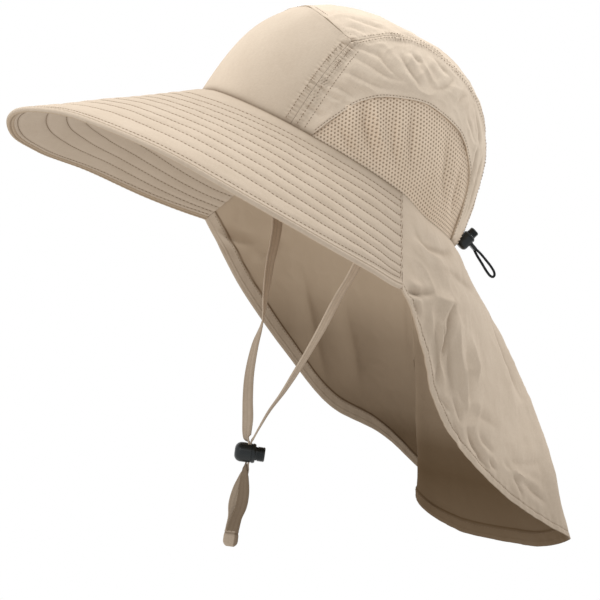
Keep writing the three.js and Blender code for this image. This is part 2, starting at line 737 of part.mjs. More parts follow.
function rearCord() {
  const strand = (cordDiameter + clearance / 2) / 2;
  const along = (distance, side, fall) => rearLockAt.clone()
    .addScaledVector(rearRun, distance)
    .addScaledVector(rearSide, side)
    .addScaledVector(up, -fall);
  const half = (sign) => [
    along(-5, sign * strand, 0),
    along(0, sign * strand, 0),
    along(4.6, sign * strand, 0),
    ...loopRows.map((row) => along(row.along, sign * row.side, row.fall)),
  ];
  const holes = [1, -1].map((sign) => cordOut.map(([x, y, z]) => (
    vec(x, y, z).addScaledVector(rearSide, sign * 1.1)
  )));
  const route = [...holes[0], ...half(1), ...half(-1).reverse(), ...holes[1].reverse()];
  const path = new THREE.CatmullRomCurve3(route, false, "centripetal");
  const section = new THREE.Shape(Array.from({ length: 8 }, (_, k) => new THREE.Vector2(
    (cordDiameter / 2) * Math.cos(rad(45 * k)),
    (cordDiameter / 2) * Math.sin(rad(45 * k)),
  )));
  return new THREE.ExtrudeGeometry(section, { steps: 56, bevelEnabled: false, extrudePath: path });
}

const finishes = {
  cloth: { color: colours.cloth, roughness: 0.8 },
  mesh: { color: colours.mesh, roughness: 0.85 },
  lock: { color: colours.lock, roughness: 0.35 },
  cord: { color: colours.cord, roughness: 0.7 },
};

function piece(name, geometry, finish) {
  const material = new THREE.MeshStandardMaterial({ ...finishes[finish], metalness: 0 });
  const mesh = new THREE.Mesh(geometry, material);
  mesh.name = name;
  return mesh;
}

// Crown and brim, built level and then tipped back
const tilted = new THREE.Group();
tilted.rotation.x = rad(-hatTilt);
tilted.add(
  piece("crown_front", crownFront(), "cloth"),
  piece("crown_top", crownTop(), "cloth"),
  piece("crown_side_left", crownSide(1), "cloth"),
  piece("crown_side_right", crownSide(-1), "cloth"),
  piece("mesh_window_left", meshWindow(1), "mesh"),
  piece("mesh_window_right", meshWindow(-1), "mesh"),
  piece("brim", brim(), "cloth"),
  piece("brim_binding", brimBinding(), "cloth"),
);

const chinLockGroup = new THREE.Group();
chinLockGroup.position.copy(chinLockAt());
chinLockGroup.rotation.z = rad(lockTurn);
chinLockGroup.add(
  piece("chin_lock_body", lockBody(chinLock), "lock"),
  piece("chin_lock_button", lockButton(chinLock), "lock"),
);

const rearLockGroup = new THREE.Group();
rearLockGroup.position.copy(rearLockAt);
rearLockGroup.quaternion.setFromRotationMatrix(
  new THREE.Matrix4().makeBasis(rearAxis, rearRun.clone().cross(rearAxis), rearRun),
);
rearLockGroup.add(
  piece("rear_lock_body", lockBody(rearLock), "lock"),
  piece("rear_lock_button", lockButton(rearLock), "lock"),
);

const hat = new THREE.Group();
hat.add(
  tilted,
  piece("neck_flap", neckFlap(), "cloth"),
  piece("chin_strap_left", chinStrap(1, leftStrapRows), "cloth"),
  piece("chin_strap_right", chinStrap(-1, rightStrapRows), "cloth"),
  piece("strap_end", strapEnd(), "cloth"),
  piece("rear_cord", rearCord(), "cord"),
  chinLockGroup,
  rearLockGroup,
);

export default hat;
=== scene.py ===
"""Flap sun hat, dressed over its frame. Sizes are millimetres until the meshes are made, +Z is up.

Crown and brim are worked out level and then tipped back by TILT, as the solids are. A turn runs round
the crown in degrees, 0 in front and 90 on the wearer's left. A rise climbs it, 0 at the brim's seam.
"""

import bpy
import numpy as np
from mathutils import Matrix, Vector


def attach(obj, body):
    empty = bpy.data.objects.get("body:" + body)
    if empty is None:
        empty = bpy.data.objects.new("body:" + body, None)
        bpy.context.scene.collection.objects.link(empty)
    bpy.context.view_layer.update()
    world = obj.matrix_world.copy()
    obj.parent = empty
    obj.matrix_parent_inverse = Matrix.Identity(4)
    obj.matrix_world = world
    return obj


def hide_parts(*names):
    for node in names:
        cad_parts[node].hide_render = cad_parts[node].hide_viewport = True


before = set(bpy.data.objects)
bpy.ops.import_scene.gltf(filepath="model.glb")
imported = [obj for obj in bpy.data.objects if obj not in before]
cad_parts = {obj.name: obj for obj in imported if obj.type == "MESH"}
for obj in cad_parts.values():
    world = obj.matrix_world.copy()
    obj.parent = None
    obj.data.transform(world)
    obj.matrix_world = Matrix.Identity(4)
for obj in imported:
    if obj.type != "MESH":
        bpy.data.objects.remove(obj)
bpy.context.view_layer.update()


def camera():
    """The photograph's view: from the wearer's left front, a little above the brim, through a long lens."""
    data = bpy.data.cameras.new("camera")
    data.lens = 146.064
    data.sensor_width = 36
    data.clip_end = 100
    eye = bpy.data.objects.new("camera", data)
    right, up = (0.481404, 0.86605, 0.134933), (-0.170577, -0.058432, 0.98361)
    back = (0.859741, -0.49653, 0.119599)
    place = (1.32376, -0.77347, 0.09658)
    eye.matrix_world = Matrix([(r, u, b, p) for r, u, b, p in zip(right, up, back, place)] + [(0, 0, 0, 1)])
    bpy.context.scene.collection.objects.link(eye)
    bpy.context.scene.camera = eye


camera()

# Named sizes of the frame, in millimetres
HEAD_LENGTH, HEAD_WIDTH, CROWN_HEIGHT, CROWN_SET, BASE_DIP, TILT = 193.0, 163.0, 95.0, 9.0, 9.5, 23.0
CLOTH_WALL, SEAM_GAP, SQUARE_SIDE, SQUARE_BACK = 1.2, 0.4, 2.8, 1.95
BRIM_REACH, BRIM_WALL, BRIM_END, BINDING_WIDTH, BINDING_WALL = 125.0, 2.4, 94.0, 5.2, 3.6
FLAP_LENGTH, FLAP_WALL, HEM_WIDTH, HEM_WALL, HEM_STITCH = 236.0, 1.2, 11.0, 2.2, 4.0
STRAP_DROP, STRAP_FORE, STRAP_WIDTH, STRAP_WALL, STRAP_PINCH, STRAP_SEAT = 183.0, 29.2, 8.5, 1.2, 4.4, 14.0
TAIL_LENGTH, TAIL_LEAN, TAB_WIDTH, TAB_LENGTH, TAB_WALL, CLEARANCE = 52.0, 4.0, 9.5, 9.0, 3.2, 0.3
CORD_DIAMETER, LOCK_RADIUS, LOCK_TURN = 1.7, 6.25, 60.0
FRONT_SEAM_TURN, FRONT_SEAM_RISE = 44.0, 46.0

BASE_ROWS = np.array([(0, 0), (45, 0.2), (93, 0.5), (112, 1), (150, 1), (180, 0.95)], float)
STRIP_ROWS = np.array([
    (0, 44, 36), (0.12, 56, 48.5), (0.27, 78, 55.5), (0.41, 104, 51), (0.58, 128, 42), (0.78, 143, 24),
    (1, 150, 0)], float)
ARCH_ROWS = np.array([
    (0, 52, 0), (0.1, 56, 10), (0.19, 60.5, 19), (0.3, 70, 26.3), (0.46, 88, 31.6), (0.59, 103, 31.2),
    (0.7, 115, 26.8), (0.8, 124, 20), (0.9, 130.5, 10), (1, 136.5, 0)], float)
BRIM_ROWS = np.array([
    (-94, 0.605, 41.6), (-80, 0.748, 37.6), (-64, 0.871, 35), (-48, 0.954, 36.5), (-32, 0.97, 38),
    (-16, 0.968, 36.2), (0, 0.983, 33.6), (16, 0.98, 30.8), (32, 0.972, 30.2), (48, 0.932, 32.2),
    (64, 0.847, 35.7), (80, 0.718, 41.2), (94, 0.568, 50.8)], float)
HEM_ROWS = np.array([
    (94, 0.198, -0.086, 0.22, 0), (102, 0.205, -0.07, 0.29, 0.03),
    (112, 0.201, -0.065, 0.385, 0.06), (122, 0.194, -0.026, 0.482, 0.06),
    (132, 0.182, 0.05, 0.562, 0.05), (144, 0.157, 0.177, 0.647, 0.045),
    (157, 0.094, 0.385, 0.738, 0.042), (168, 0.05, 0.52, 0.8, 0.044),
    (180, -0.1, 0.53, 0.868, 0.042), (190, -0.235, 0.455, 0.886, 0.03),
    (196, -0.278, 0.401, 0.866, 0.02), (200, -0.286, 0.357, 0.825, 0.012),
    (203.5, -0.295, 0.415, 0.8, 0.012), (206.5, -0.325, 0.455, 0.775, 0.01),
    (210, -0.338, 0.42, 0.74, 0.015), (218, -0.313, 0.308, 0.661, 0.03),
    (226, -0.29, 0.194, 0.617, 0.045), (239, -0.263, 0.076, 0.482, 0.055),
    (253, -0.246, -0.036, 0.306, 0.04), (266, -0.236, -0.073, 0.196, 0)], float)
# side, fore, down, face, width
LEFT_STRAP = np.array([
    (0.93, 0.06, 0.09, 96, 1), (0.756, 0.22, 0.297, 108, 1), (0.68, 0.38, 0.391, 110, 1),
    (0.58, 0.574, 0.528, 113, 1), (0.466, 0.777, 0.659, 120, 1), (0.353, 0.908, 0.757, 128, 0.9),
    (0.24, 0.99, 0.828, 136, 0.8), (0.13, 1, 0.893, 143, 0.65), (0.05, 1, 0.942, 148, 0.54)], float)
RIGHT_STRAP = np.array([
    (0.89, 0.02, 0.07, 90, 1), (0.655, 0.078, 0.222, 105, 1), (0.479, 0.386, 0.368, 115, 1),
    (0.378, 0.54, 0.468, 130, 1), (0.302, 0.645, 0.555, 150, 1), (0.214, 0.88, 0.637, 175, 1),
    (0.139, 1.035, 0.735, 194, 1), (0.088, 1.07, 0.817, 204, 1), (0.06, 1.05, 0.88, 206, 1),
    (0.04, 1.035, 0.945, 196, 0.85)], float)
# down, roll, slide, apart, width
TAIL_ROWS = [(0.19, 22, 0.05, 2.0, 0.66), (0.31, 48, 0.2, 2.6, 0.85), (0.48, 68, 0.3, 2.8, 0.9),
             (0.66, 82, 0.3, 2.5, 0.85), (0.82, 90, 0.12, 1.8, 0.85), (1, 90, 0.04, 1.6, 0.9)]

UP = np.array([0.0, 0.0, 1.0])


def read(rows, column, at):
    """A column of a table at a key, on the same smooth curve as the solids use."""
    x, y = rows[:, 0], rows[:, column]
    at = np.clip(np.asarray(at, float), x[0], x[-1])
    slope = np.diff(y) / np.diff(x)
    before, after = np.r_[slope[0], slope], np.r_[slope, slope[-1]]
    both = np.where(before + after == 0, 1, before + after)
    lean = np.where(before * after > 0, 2 * before * after / both, 0)
    i = np.clip(np.searchsorted(x, at, side="left") - 1, 0, len(x) - 2)
    span = x[i + 1] - x[i]
    t = (at - x[i]) / span
    return (y[i] * (1 + 2 * t) * (1 - t) ** 2 + lean[i] * span * t * (1 - t) ** 2
            + y[i + 1] * t * t * (3 - 2 * t) + lean[i + 1] * span * t * t * (t - 1))


def stack(*parts):
    return np.stack(np.broadcast_arrays(*parts), -1)


def unit(v):
    return v / np.maximum(np.linalg.norm(v, axis=-1, keepdims=True), 1e-9)


def smooth(x):
    x = np.clip(x, 0, 1)
    return x * x * (3 - 2 * x)


def bell(x, width):
    return np.exp(-(x / width) ** 2)


def crown_point(turn, rise):
    turn, rise = np.broadcast_arrays(np.asarray(turn, float), np.asarray(rise, float))
    facing = np.cos(np.radians(turn))
    power = SQUARE_SIDE + (SQUARE_BACK - SQUARE_SIDE) * np.maximum(-facing, 0) ** 2
    lift = np.radians(np.clip(rise, 0, 90))
    size = (np.cos(lift) ** power + np.sin(lift) ** power) ** (1 / power)
    out = np.cos(lift) / size
    high = np.where(rise < 0, np.radians(rise), np.sin(lift) / size)
    around = np.mod(turn + 180, 360) - 180
    base = -BASE_DIP * read(BASE_ROWS, 1, np.abs(around))
    return stack(HEAD_WIDTH / 2 * np.sin(np.radians(turn)) * out,
                 -HEAD_LENGTH / 2 * facing * out + CROWN_SET * np.maximum(high, 0),
                 base + (CROWN_HEIGHT - base) * high)


def chart(turn, rise):
    return stack((1 - rise / 90) * np.sin(np.radians(turn)), (1 - rise / 90) * np.cos(np.radians(turn)))


def from_chart(spot):
    return np.degrees(np.arctan2(spot[..., 0], spot[..., 1])), 90 * (1 - np.linalg.norm(spot, axis=-1))


def on_chart(spot):
    return crown_point(*from_chart(spot))


def chart_normal(spot):
    step = 0.002
    across = on_chart(spot + [step, 0]) - on_chart(spot - [step, 0])
    down = on_chart(spot + [0, step]) - on_chart(spot - [0, step])
    return unit(np.cross(down, across))


def crown_normal(turn, rise):
    return chart_normal(chart(turn, rise))


def seam_point(rows, share, shift):
    step = 0.004
    low, high = np.maximum(share - step, 0), np.minimum(share + step, 1)
    along = stack(read(rows, 1, high) - read(rows, 1, low), read(rows, 2, high) - read(rows, 2, low))
    along = unit(along)
    return read(rows, 1, share) - along[..., 1] * shift, read(rows, 2, share) + along[..., 0] * shift


CROWN_DEGREE = np.radians(1) * (HEAD_LENGTH + HEAD_WIDTH) / 4
HALF_GAP = SEAM_GAP / 2 / CROWN_DEGREE
SKIRT_RISE = -(BRIM_WALL + 1.2) / (np.radians(1) * CROWN_HEIGHT)


def front_top(turn):
    climb = STRIP_ROWS[0, 2] + 1 - FRONT_SEAM_RISE
    return FRONT_SEAM_RISE + climb * (np.abs(turn) / FRONT_SEAM_TURN) ** 1.2


def outward(turn):
    t = np.radians(turn)
    return unit(stack(np.sin(t) / HEAD_WIDTH, -np.cos(t) / HEAD_LENGTH, 0 * t))


def brim_reach(turn):
    return BRIM_REACH * read(BRIM_ROWS, 1, turn)


def brim_slope(turn):
    return np.radians(read(BRIM_ROWS, 2, turn))


def brim_point(turn, distance):
    slope = brim_slope(turn)
    return (crown_point(turn, 0) + outward(turn) * (SEAM_GAP + distance * np.cos(slope))[..., None]
            - UP * (distance * np.sin(slope))[..., None])


def brim_depth(turn, share):
    slope = brim_slope(turn)
    square = UP * np.cos(slope)[..., None] + outward(turn) * np.sin(slope)[..., None]
    mix = np.minimum(3 * share, 1)[..., None]
    way = unit(UP * (1 - mix) + square * mix)
    return way / (way * square).sum(-1, keepdims=True)


def tilt(point):
    c, s = np.cos(np.radians(TILT)), np.sin(np.radians(TILT))
    x, y, z = point[..., 0], point[..., 1], point[..., 2]
    return stack(x, y * c + z * s, -y * s + z * c)


FLAP_ENDS = (BRIM_END, 360 - BRIM_END)


def signed(turn):
    return np.where(np.asarray(turn, float) > 180, np.asarray(turn, float) - 360, turn)


def near_end(turn, end, within):
    return np.maximum(0, 1 - np.abs(turn - end) / within) ** 2


def seam_end(turn, distance):
    at = np.asarray(signed(turn), float)
    square = unit(np.cross(brim_depth(at, np.ones_like(at)), outward(at)))
    behind = square * np.where(square[..., 1:2] > 0, 1, -1)
    return tilt(brim_point(at, distance) + behind * SEAM_GAP)


def flap_foot(turn):
    turn = np.asarray(turn, float)
    foot = tilt(crown_point(turn, 0) + outward(turn) * SEAM_GAP)
    for end in FLAP_ENDS:
        e = np.asarray(float(end))
        seam = seam_end(e, np.asarray(0.0)) - tilt(brim_point(signed(e), np.asarray(0.0)))
        foot = foot + seam * near_end(turn, end, 8)[..., None]
    return foot


def flap_hem(turn):
    turn = np.asarray(turn, float)

    def hem(at):
        return flap_foot(at) + FLAP_LENGTH * stack(
            read(HEM_ROWS, 1, at), read(HEM_ROWS, 2, at), -read(HEM_ROWS, 3, at))
    point = hem(turn)
    for end in FLAP_ENDS:
        e = np.asarray(float(end))
        corner = seam_end(e, brim_reach(signed(e)))
        point = point + (corner - hem(e)) * near_end(turn, end, 22)[..., None]
    return point


def flap_point(turn, drop):
    foot, hem = flap_foot(turn), flap_hem(turn)
    run = hem - foot
    around = flap_foot(turn + 0.5) - flap_foot(turn - 0.5) + flap_hem(turn + 0.5) - flap_hem(turn - 0.5)
    out = -unit(np.cross(around, run))
    bulge = FLAP_LENGTH * read(HEM_ROWS, 4, turn)
    return foot + run * drop[..., None] + out * (4 * drop * (1 - drop) * bulge)[..., None]


def flap_normal(turn, drop):
    low = np.clip(drop, 0.01, 0.99)
    at = np.clip(turn, FLAP_ENDS[0] + 0.6, FLAP_ENDS[1] - 0.6)
    around = flap_point(at + 0.5, low) - flap_point(at - 0.5, low)
    fall = flap_point(at, low + 0.01) - flap_point(at, low - 0.01)
    return -unit(np.cross(around, fall))


def mix(a, b, t):
    return a + (b - a) * t


def curve(points, shares):
    """A smooth line through points, read at shares of the way."""
    points = np.asarray(points, float)
    ends = np.vstack([2 * points[0] - points[1], points, 2 * points[-1] - points[-2]])
    place = np.clip(shares, 0, 1) * (len(points) - 1)
    i = np.minimum(place.astype(int), len(points) - 2)
    t = (place - i)[..., None]
    p0, p1, p2, p3 = (ends[i + k] for k in range(4))
    d0, d1, d2 = (
        np.maximum(((b - a) ** 2).sum(-1, keepdims=True), 1e-12) ** 0.25
        for a, b in ((p0, p1), (p1, p2), (p2, p3))
    )
    start = ((p1 - p0) / d0 - (p2 - p0) / (d0 + d1) + (p2 - p1) / d1) * d1
    end = ((p2 - p1) / d1 - (p3 - p1) / (d1 + d2) + (p3 - p2) / d2) * d1
    return (p1 + start * t + (3 * (p2 - p1) - 2 * start - end) * t ** 2
            + (2 * (p1 - p2) + start + end) * t ** 3)


def tangent(points, shares):
    step = 1e-4
    return unit(curve(points, np.minimum(shares + step, 1)) - curve(points, np.maximum(shares - step, 0)))


def noise(spots, size, seed):
    """Smooth random heights from -1 to 1, with bumps about so many millimetres wide."""
    table = np.random.default_rng(seed).uniform(-1, 1, 8192)
    cell = np.asarray(spots, float) / size
    low = np.floor(cell).astype(np.int64)
    part = smooth(cell - low)
    primes = np.array([73, 1571, 30011])[:cell.shape[-1]]
    total = np.zeros(cell.shape[:-1])
    for corner in np.ndindex(*(2,) * cell.shape[-1]):
        weight = np.prod(np.where(corner, part, 1 - part), axis=-1)
        total += weight * table[((low + np.array(corner)) * primes).sum(-1) % 8192]
    return total


def length_of(line):
    return np.linalg.norm(np.diff(line, axis=0), axis=-1).sum()


def near_line(points, line):
    """Each point's distance from a line, and the share of the line it lies beside."""
    off = np.full(points.shape[:-1], 1e9)
    along = np.zeros(points.shape[:-1])
    total = length_of(line)
    before = 0.0
    for a, b in zip(line[:-1], line[1:]):
        run = b - a
        size = max(np.linalg.norm(run), 1e-9)
        t = np.clip((points - a) @ run / size ** 2, 0, 1)
        away = np.linalg.norm(points - a - t[..., None] * run, axis=-1)
        along = np.where(away < off, (before + t * size) / total, along)
        off = np.minimum(off, away)
        before += size
    return off, along


def creases(points, place, rows, rise=1.0):
    """Lift and painted shade of cloth folded along rows of (line, width, depth). place puts a line on the
    cloth.
    """
    lift = np.zeros(points.shape[:-1])
    shade = np.zeros(points.shape[:-1])
    for line, width, depth in rows:
        flat = curve(line, np.linspace(0, 1, 3 * len(line)))
        off, along = near_line(points, place(flat[:, 0], flat[:, 1]))
        fade = smooth(np.minimum(along, 1 - along) / 0.4)
        ridge = 0.4 * bell(off - 2.4 * width, 1.4 * width)
        valley = np.exp(-np.sqrt(off ** 2 + 0.09) / (0.9 * width))
        lift += rise * depth * fade * (ridge - valley)
        # painted shade darkens each fold's valley
        shade += np.clip(0.16 * depth * fade * bell(off, 0.5 * width), 0, 0.35)
    return lift, shade


def crumple(points, size, seed):
    """Heights from about -1 to 0.5 of lightly crumpled cloth: flat patches that meet in sharp ridges."""
    drift = stack(*(noise(points, 1.6 * size, seed + k) for k in range(points.shape[-1])))
    bent = points + 0.5 * size * drift
    return 0.5 - 1.5 * np.abs(noise(bent, size, seed + 7)) ** 0.8


def seams(points, rows):
    """Lift and painted shade beside seams of (line, half width of the fold under it, pucker height,
    darkness).
    """
    lift = np.zeros(points.shape[:-1])
    shade = np.zeros(points.shape[:-1])
    for number, (line, reach, pucker, dark) in enumerate(rows):
        off, along = near_line(points, line)
        run = along * length_of(line)
        strength = 0.6 + 0.4 * noise(stack(run, off), 9, 40 + number)
        wave = np.sin(run * 2.6 + 2.5 * noise(stack(run, 0 * run), 5, 60 + number))
        lift += 0.34 * smooth((reach - off) / 2 + 0.5) - 1.2 * dark * bell(off, 0.6)
        beside = bell(off - 0.55 * reach, 0.6 * reach)
        lift += pucker * strength * wave * beside
        # painted shade in the puckers' hollows and in the seam's groove
        shade += 1.5 * pucker * strength * np.clip(-wave, 0, 1) ** 2 * beside
        shade += dark * bell(off, 0.5)
    return lift, shade


# Pieces

def shell_faces(rows, columns):
    """The quads of a closed shell: an outer grid, an inner one and the four edges between them."""
    def at(side, i, j):
        return side * rows * columns + i * columns + j
    i, j = np.meshgrid(np.arange(rows - 1), np.arange(columns - 1), indexing="ij")
    i, j = i.ravel(), j.ravel()
    a, b = np.arange(rows - 1), np.arange(columns - 1)
    far, last = columns - 1, rows - 1
    return np.concatenate([np.stack(quad, -1) for quad in (
        (at(0, i, j), at(0, i, j + 1), at(0, i + 1, j + 1), at(0, i + 1, j)),
        (at(1, i + 1, j), at(1, i + 1, j + 1), at(1, i, j + 1), at(1, i, j)),
        (at(0, a + 1, 0), at(1, a + 1, 0), at(1, a, 0), at(0, a, 0)),
        (at(0, a, far), at(1, a, far), at(1, a + 1, far), at(0, a + 1, far)),
        (at(0, 0, b), at(1, 0, b), at(1, 0, b + 1), at(0, 0, b + 1)),
        (at(0, last, b + 1), at(1, last, b + 1), at(1, last, b), at(0, last, b)),
    )])


def loft_faces(rings, sides):
    i, j = np.meshgrid(np.arange(rings - 1), np.arange(sides), indexing="ij")
    i, j = i.ravel(), j.ravel()
    k = (j + 1) % sides
    walls = np.stack([i * sides + j, i * sides + k, (i + 1) * sides + k, (i + 1) * sides + j], -1)
    first = list(range(sides))[::-1]
    return walls.tolist() + [first, [(rings - 1) * sides + s for s in range(sides)]]


def outward_volume(points, faces):
    total = 0.0
    for face in faces:
        a, b, c = points[face[0]], points[face[1]], points[face[2]]
        total += a @ np.cross(b, c)
        if len(face) == 4:
            total += a @ np.cross(c, points[face[3]])
    return total


def make(name, points, faces, nodes=(), slot="cloth", body="hat", finish=None, sharp=50, **values):
    """A piece from points in millimetres. values are numbers kept on its points for its material."""
    points = np.asarray(points, float).reshape(-1, 3)
    if isinstance(faces, np.ndarray):
        a, b, c, d = (points[faces[:, k]] for k in range(4))
        volume = (a * np.cross(b, c)).sum() + (a * np.cross(c, d)).sum()
        faces = faces.tolist()
    else:
        volume = outward_volume(points, faces)
    if volume < 0:
        faces = [face[::-1] for face in faces]
    mesh = bpy.data.meshes.new(name)
    mesh.from_pydata((points / 1000).tolist(), [], faces)
    mesh.update()
    mesh.shade_smooth()
    mesh.set_sharp_from_angle(angle=np.radians(sharp))
    for key, value in values.items():
        value = np.asarray(value, np.float32)
        flat = key != "spot"
        attribute = mesh.attributes.new(key, "FLOAT" if flat else "FLOAT_VECTOR", "POINT")
        attribute.data.foreach_set("value" if flat else "vector", value.ravel())
    mesh.materials.append(finish)
    piece = bpy.data.objects.new(name, mesh)
    bpy.context.scene.collection.objects.link(piece)
    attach(piece, body)
    if nodes:
        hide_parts(*nodes)
    return piece


def cloth_piece(name, outer, inner, spot, shade, nodes, finish=None, inside_shade_tone=1.0, shade_inside=None,
                gloom=0.0, gloom_out=0.0):
    """A closed cloth shell with its weave's flat coordinates, its tones and its painted shade: a darker
    inside, dark lines in seams and creases, and broad darkening.
    """
    shape = outer.shape[:2]

    def both(outside, inside):
        return np.concatenate([np.broadcast_to(side, shape).ravel() for side in (outside, inside)])

    points = np.concatenate([outer.reshape(-1, 3), inner.reshape(-1, 3)])
    flat = np.column_stack([both(way, way) for way in (spot[..., 0], spot[..., 1])] + [both(0, 300)])
    dark = both(shade, shade if shade_inside is None else shade_inside)
    return make(name, points, shell_faces(*shape), nodes, finish=finish or CLOTH, spot=flat,
                inside=both(0, inside_shade_tone), shade=dark, gloom=both(gloom_out, gloom))


def stitches(name, rows, pitch=2.75, long=1.9, thick=0.5):
    """Threads showing along rows of (points, ways out of the cloth)."""
    points, faces = [], []
    rng = np.random.default_rng(len(rows))
    for line, out in rows:
        steps = np.linalg.norm(np.diff(line, axis=0), axis=-1)
        reach = np.r_[0, np.cumsum(steps)]
        at = np.arange(pitch / 2, reach[-1] - pitch / 2, pitch)
        if len(at) == 0:
            continue
        at = at + rng.uniform(-0.12, 0.12, len(at))
        middle = np.stack([np.interp(at, reach, line[:, k]) for k in range(3)], -1)
        ahead = np.stack([np.interp(at + 0.4, reach, line[:, k]) for k in range(3)], -1)
        back = np.stack([np.interp(at - 0.4, reach, line[:, k]) for k in range(3)], -1)
        way = unit(ahead - back)
        high = unit(np.stack([np.interp(at, reach, out[:, k]) for k in range(3)], -1))
        side = unit(np.cross(way, high))
        size = long * rng.uniform(0.9, 1.08, (len(at), 1))
        ring = [(s, a, b) for s in (-0.3, 0.3) for a, b in ((1, 0), (0, 1), (-1, 0), (0, -1))]
        spots = [middle - way * size / 2 - high * thick * 0.3]
        spots += [middle + way * size * s + (side * a / 2 + high * b * 0.4) * thick for s, a, b in ring]
        spots += [middle + way * size / 2 - high * thick * 0.3]
        base = sum(len(p) for p in points)
        points.append(np.stack(spots, 1).reshape(-1, 3))
        shape = [(0, 2, 1), (0, 3, 2), (0, 4, 3), (0, 1, 4), (9, 5, 6), (9, 6, 7), (9, 7, 8), (9, 8, 5)]
        shape += [(1 + k, 1 + (k + 1) % 4, 5 + (k + 1) % 4, 5 + k) for k in range(4)]
        for number in range(len(at)):
            start = base + 10 * number
            faces += [[start + k for k in face] for face in shape]
    return make(name, np.concatenate(points), faces, finish=THREAD)


# Crown

# line in turns and rises, width and depth of the fold
CROWN_CREASES = [
    ([(62.5, 43.5), (67.5, 40.5), (73.5, 37.5), (77.5, 35.5), (80.5, 32.5)], 2.2, 1.5),
    ([(67, 46), (72.5, 44.5), (78, 44.5)], 1.7, 0.9),
    ([(79.5, 52.5), (86.5, 48.5), (94.5, 46)], 2.2, 1.2),
    ([(43, 18), (48, 19), (54.5, 19.5), (62, 18.5)], 1.4, 0.9),
    ([(43, 14.5), (47.5, 15.5), (52.5, 15.5), (59, 16)], 1.1, 0.6),
    ([(43, 7.5), (48, 8), (54.5, 7.5)], 1.4, 0.7),
    ([(44, 30.5), (48.5, 31.5), (55, 32), (66, 31.5), (75, 34)], 1.5, 0.9),
    ([(44, 24.5), (48, 25), (54.5, 26), (64, 26.5), (72, 29)], 1.5, 0.9),
    ([(44, 34), (52, 36.5), (62, 37)], 1.3, 0.7),
    ([(52, 40), (58, 37), (66, 34), (76, 33)], 1.4, 0.8),
    ([(84, 36), (90, 40), (94, 45), (96, 50)], 1.7, 1.0),
    ([(99, 36), (102, 42), (108, 45)], 1.6, 0.9),
    ([(70, 52), (74, 46), (82, 41), (90, 37)], 1.5, -0.8),
    ([(26, 45), (33, 47.5), (43.5, 49.5), (54.5, 51.5)], 1.6, 0.8),
    ([(33, 41.5), (40.5, 43), (49.5, 43)], 1.6, 0.7),
    ([(56, 53), (66, 55.5), (74.5, 59)], 1.8, 0.9),
    ([(60, 66), (78, 64), (95, 58)], 3, 0.9),
    ([(120.5, 41), (121, 30), (124.5, 20), (131.5, 11)], 1.4, 1.1),
    ([(110.5, 45), (120, 37), (124.5, 27.5)], 1.4, 1.0),
    ([(128, 36), (129, 26), (133, 16), (139, 7)], 1.3, 0.9),
    ([(105, 38), (112, 34), (119, 31)], 1.2, 0.6),
]
NET_CREASES = [
    ([(60, 24), (66, 15), (72, 9), (82, 2)], 3.0, 2.3), ([(66, 22), (71, 16), (78, 8)], 2.4, -2.0),
    ([(72, 27), (80, 13), (90, 3)], 2.6, 1.6), ([(78, 31), (86, 17), (95, 5)], 3.2, 2.0),
    ([(98, 30), (106, 17), (117, 6)], 3.6, 1.8), ([(112, 24), (118, 13), (127, 4)], 2.6, 1.6),
    ([(57, 9), (64, 5), (72, 1)], 2.0, 1.2),
]
# turns either side of the front seam where it is stitched again
BAND_TURNS = (41.2, 46.2, 49.4)


def mirrored(rows):
    return rows + [([(-turn, rise) for turn, rise in line], w, d) for line, w, d in rows]


def flat_spot(turn, rise):
    return stack(turn * CROWN_DEGREE, rise * CROWN_DEGREE)


def crown_seams():
    share = np.linspace(0, 1, 60)
    over = np.linspace(-FRONT_SEAM_TURN, FRONT_SEAM_TURN, 40)
    rows = [(crown_point(over, front_top(over)), 3.2, 0.14, 0.2)]
    for side in (1, -1):
        turn, rise = seam_point(STRIP_ROWS, share, 0 * share)
        rows.append((crown_point(side * turn, rise), 3.6, 0.46, 0.1))
        climb = np.linspace(-3, STRIP_ROWS[0, 2], 40)
        rows.append((crown_point(0 * climb + side * FRONT_SEAM_TURN, climb), 5.5, 0.5, 0.05))
    return rows


def crown_relief(points, rise, beside=1.0):
    """Lift and painted shade of the crown's cloth. beside is how much it is crumpled."""
    lift, shade = seams(points, crown_seams())
    folds, lines = creases(points, crown_point, mirrored(CROWN_CREASES), 1.1)
    lift = lift + folds + 0.7 * noise(points, 24, 1) + beside * (0.8 * crumple(points, 15, 70) + 0.3)
    lift = lift + beside * 0.22 * crumple(points, 6, 80)
    # painted shadow along the foot of the crown, where it meets the brim
    joint = np.exp(-np.maximum(rise, 0) / 0.9)
    return lift * smooth((rise + 1) / 3), shade + lines + 0.8 * joint


def crown_shape(turn, rise):
    return crown_relief(crown_point(turn, rise), rise, smooth((np.abs(turn) - 40) / 12))


def crown_cloth(turn, rise, node, edge=0.0):
    """A crown panel. edge is how far its rim stands up where it laps over a window."""
    lift, shade = crown_shape(turn, rise)
    out = crown_normal(turn, rise)
    outer = crown_point(turn, rise) + out * (lift + edge)[..., None]
    inner = outer - out * CLOTH_WALL
    # painted shade: darker over the front, near the top and over the front's left half
    painted_dark = 0.01 + 0.1 * smooth((52 - np.abs(turn)) / 8) + 0.05 * smooth((rise - 88) / 12)
    painted_dark = painted_dark + 0.07 * smooth((turn - 2) / 20) * smooth((46 - turn) / 6)
    return cloth_piece(f"{node}_cloth", tilt(outer), tilt(inner), flat_spot(turn, rise), shade, [node],
                       CROWN, gloom_out=painted_dark)


def front_panel():
    half = FRONT_SEAM_TURN - HALF_GAP / 2
    turn = np.linspace(-half, half, 150)[:, None]
    climb = np.linspace(0, 1, 84)[None]
    rise = mix(SKIRT_RISE, front_top(turn) - HALF_GAP / 2, climb)
    return crown_cloth(turn + 0 * climb, rise, "crown_front")


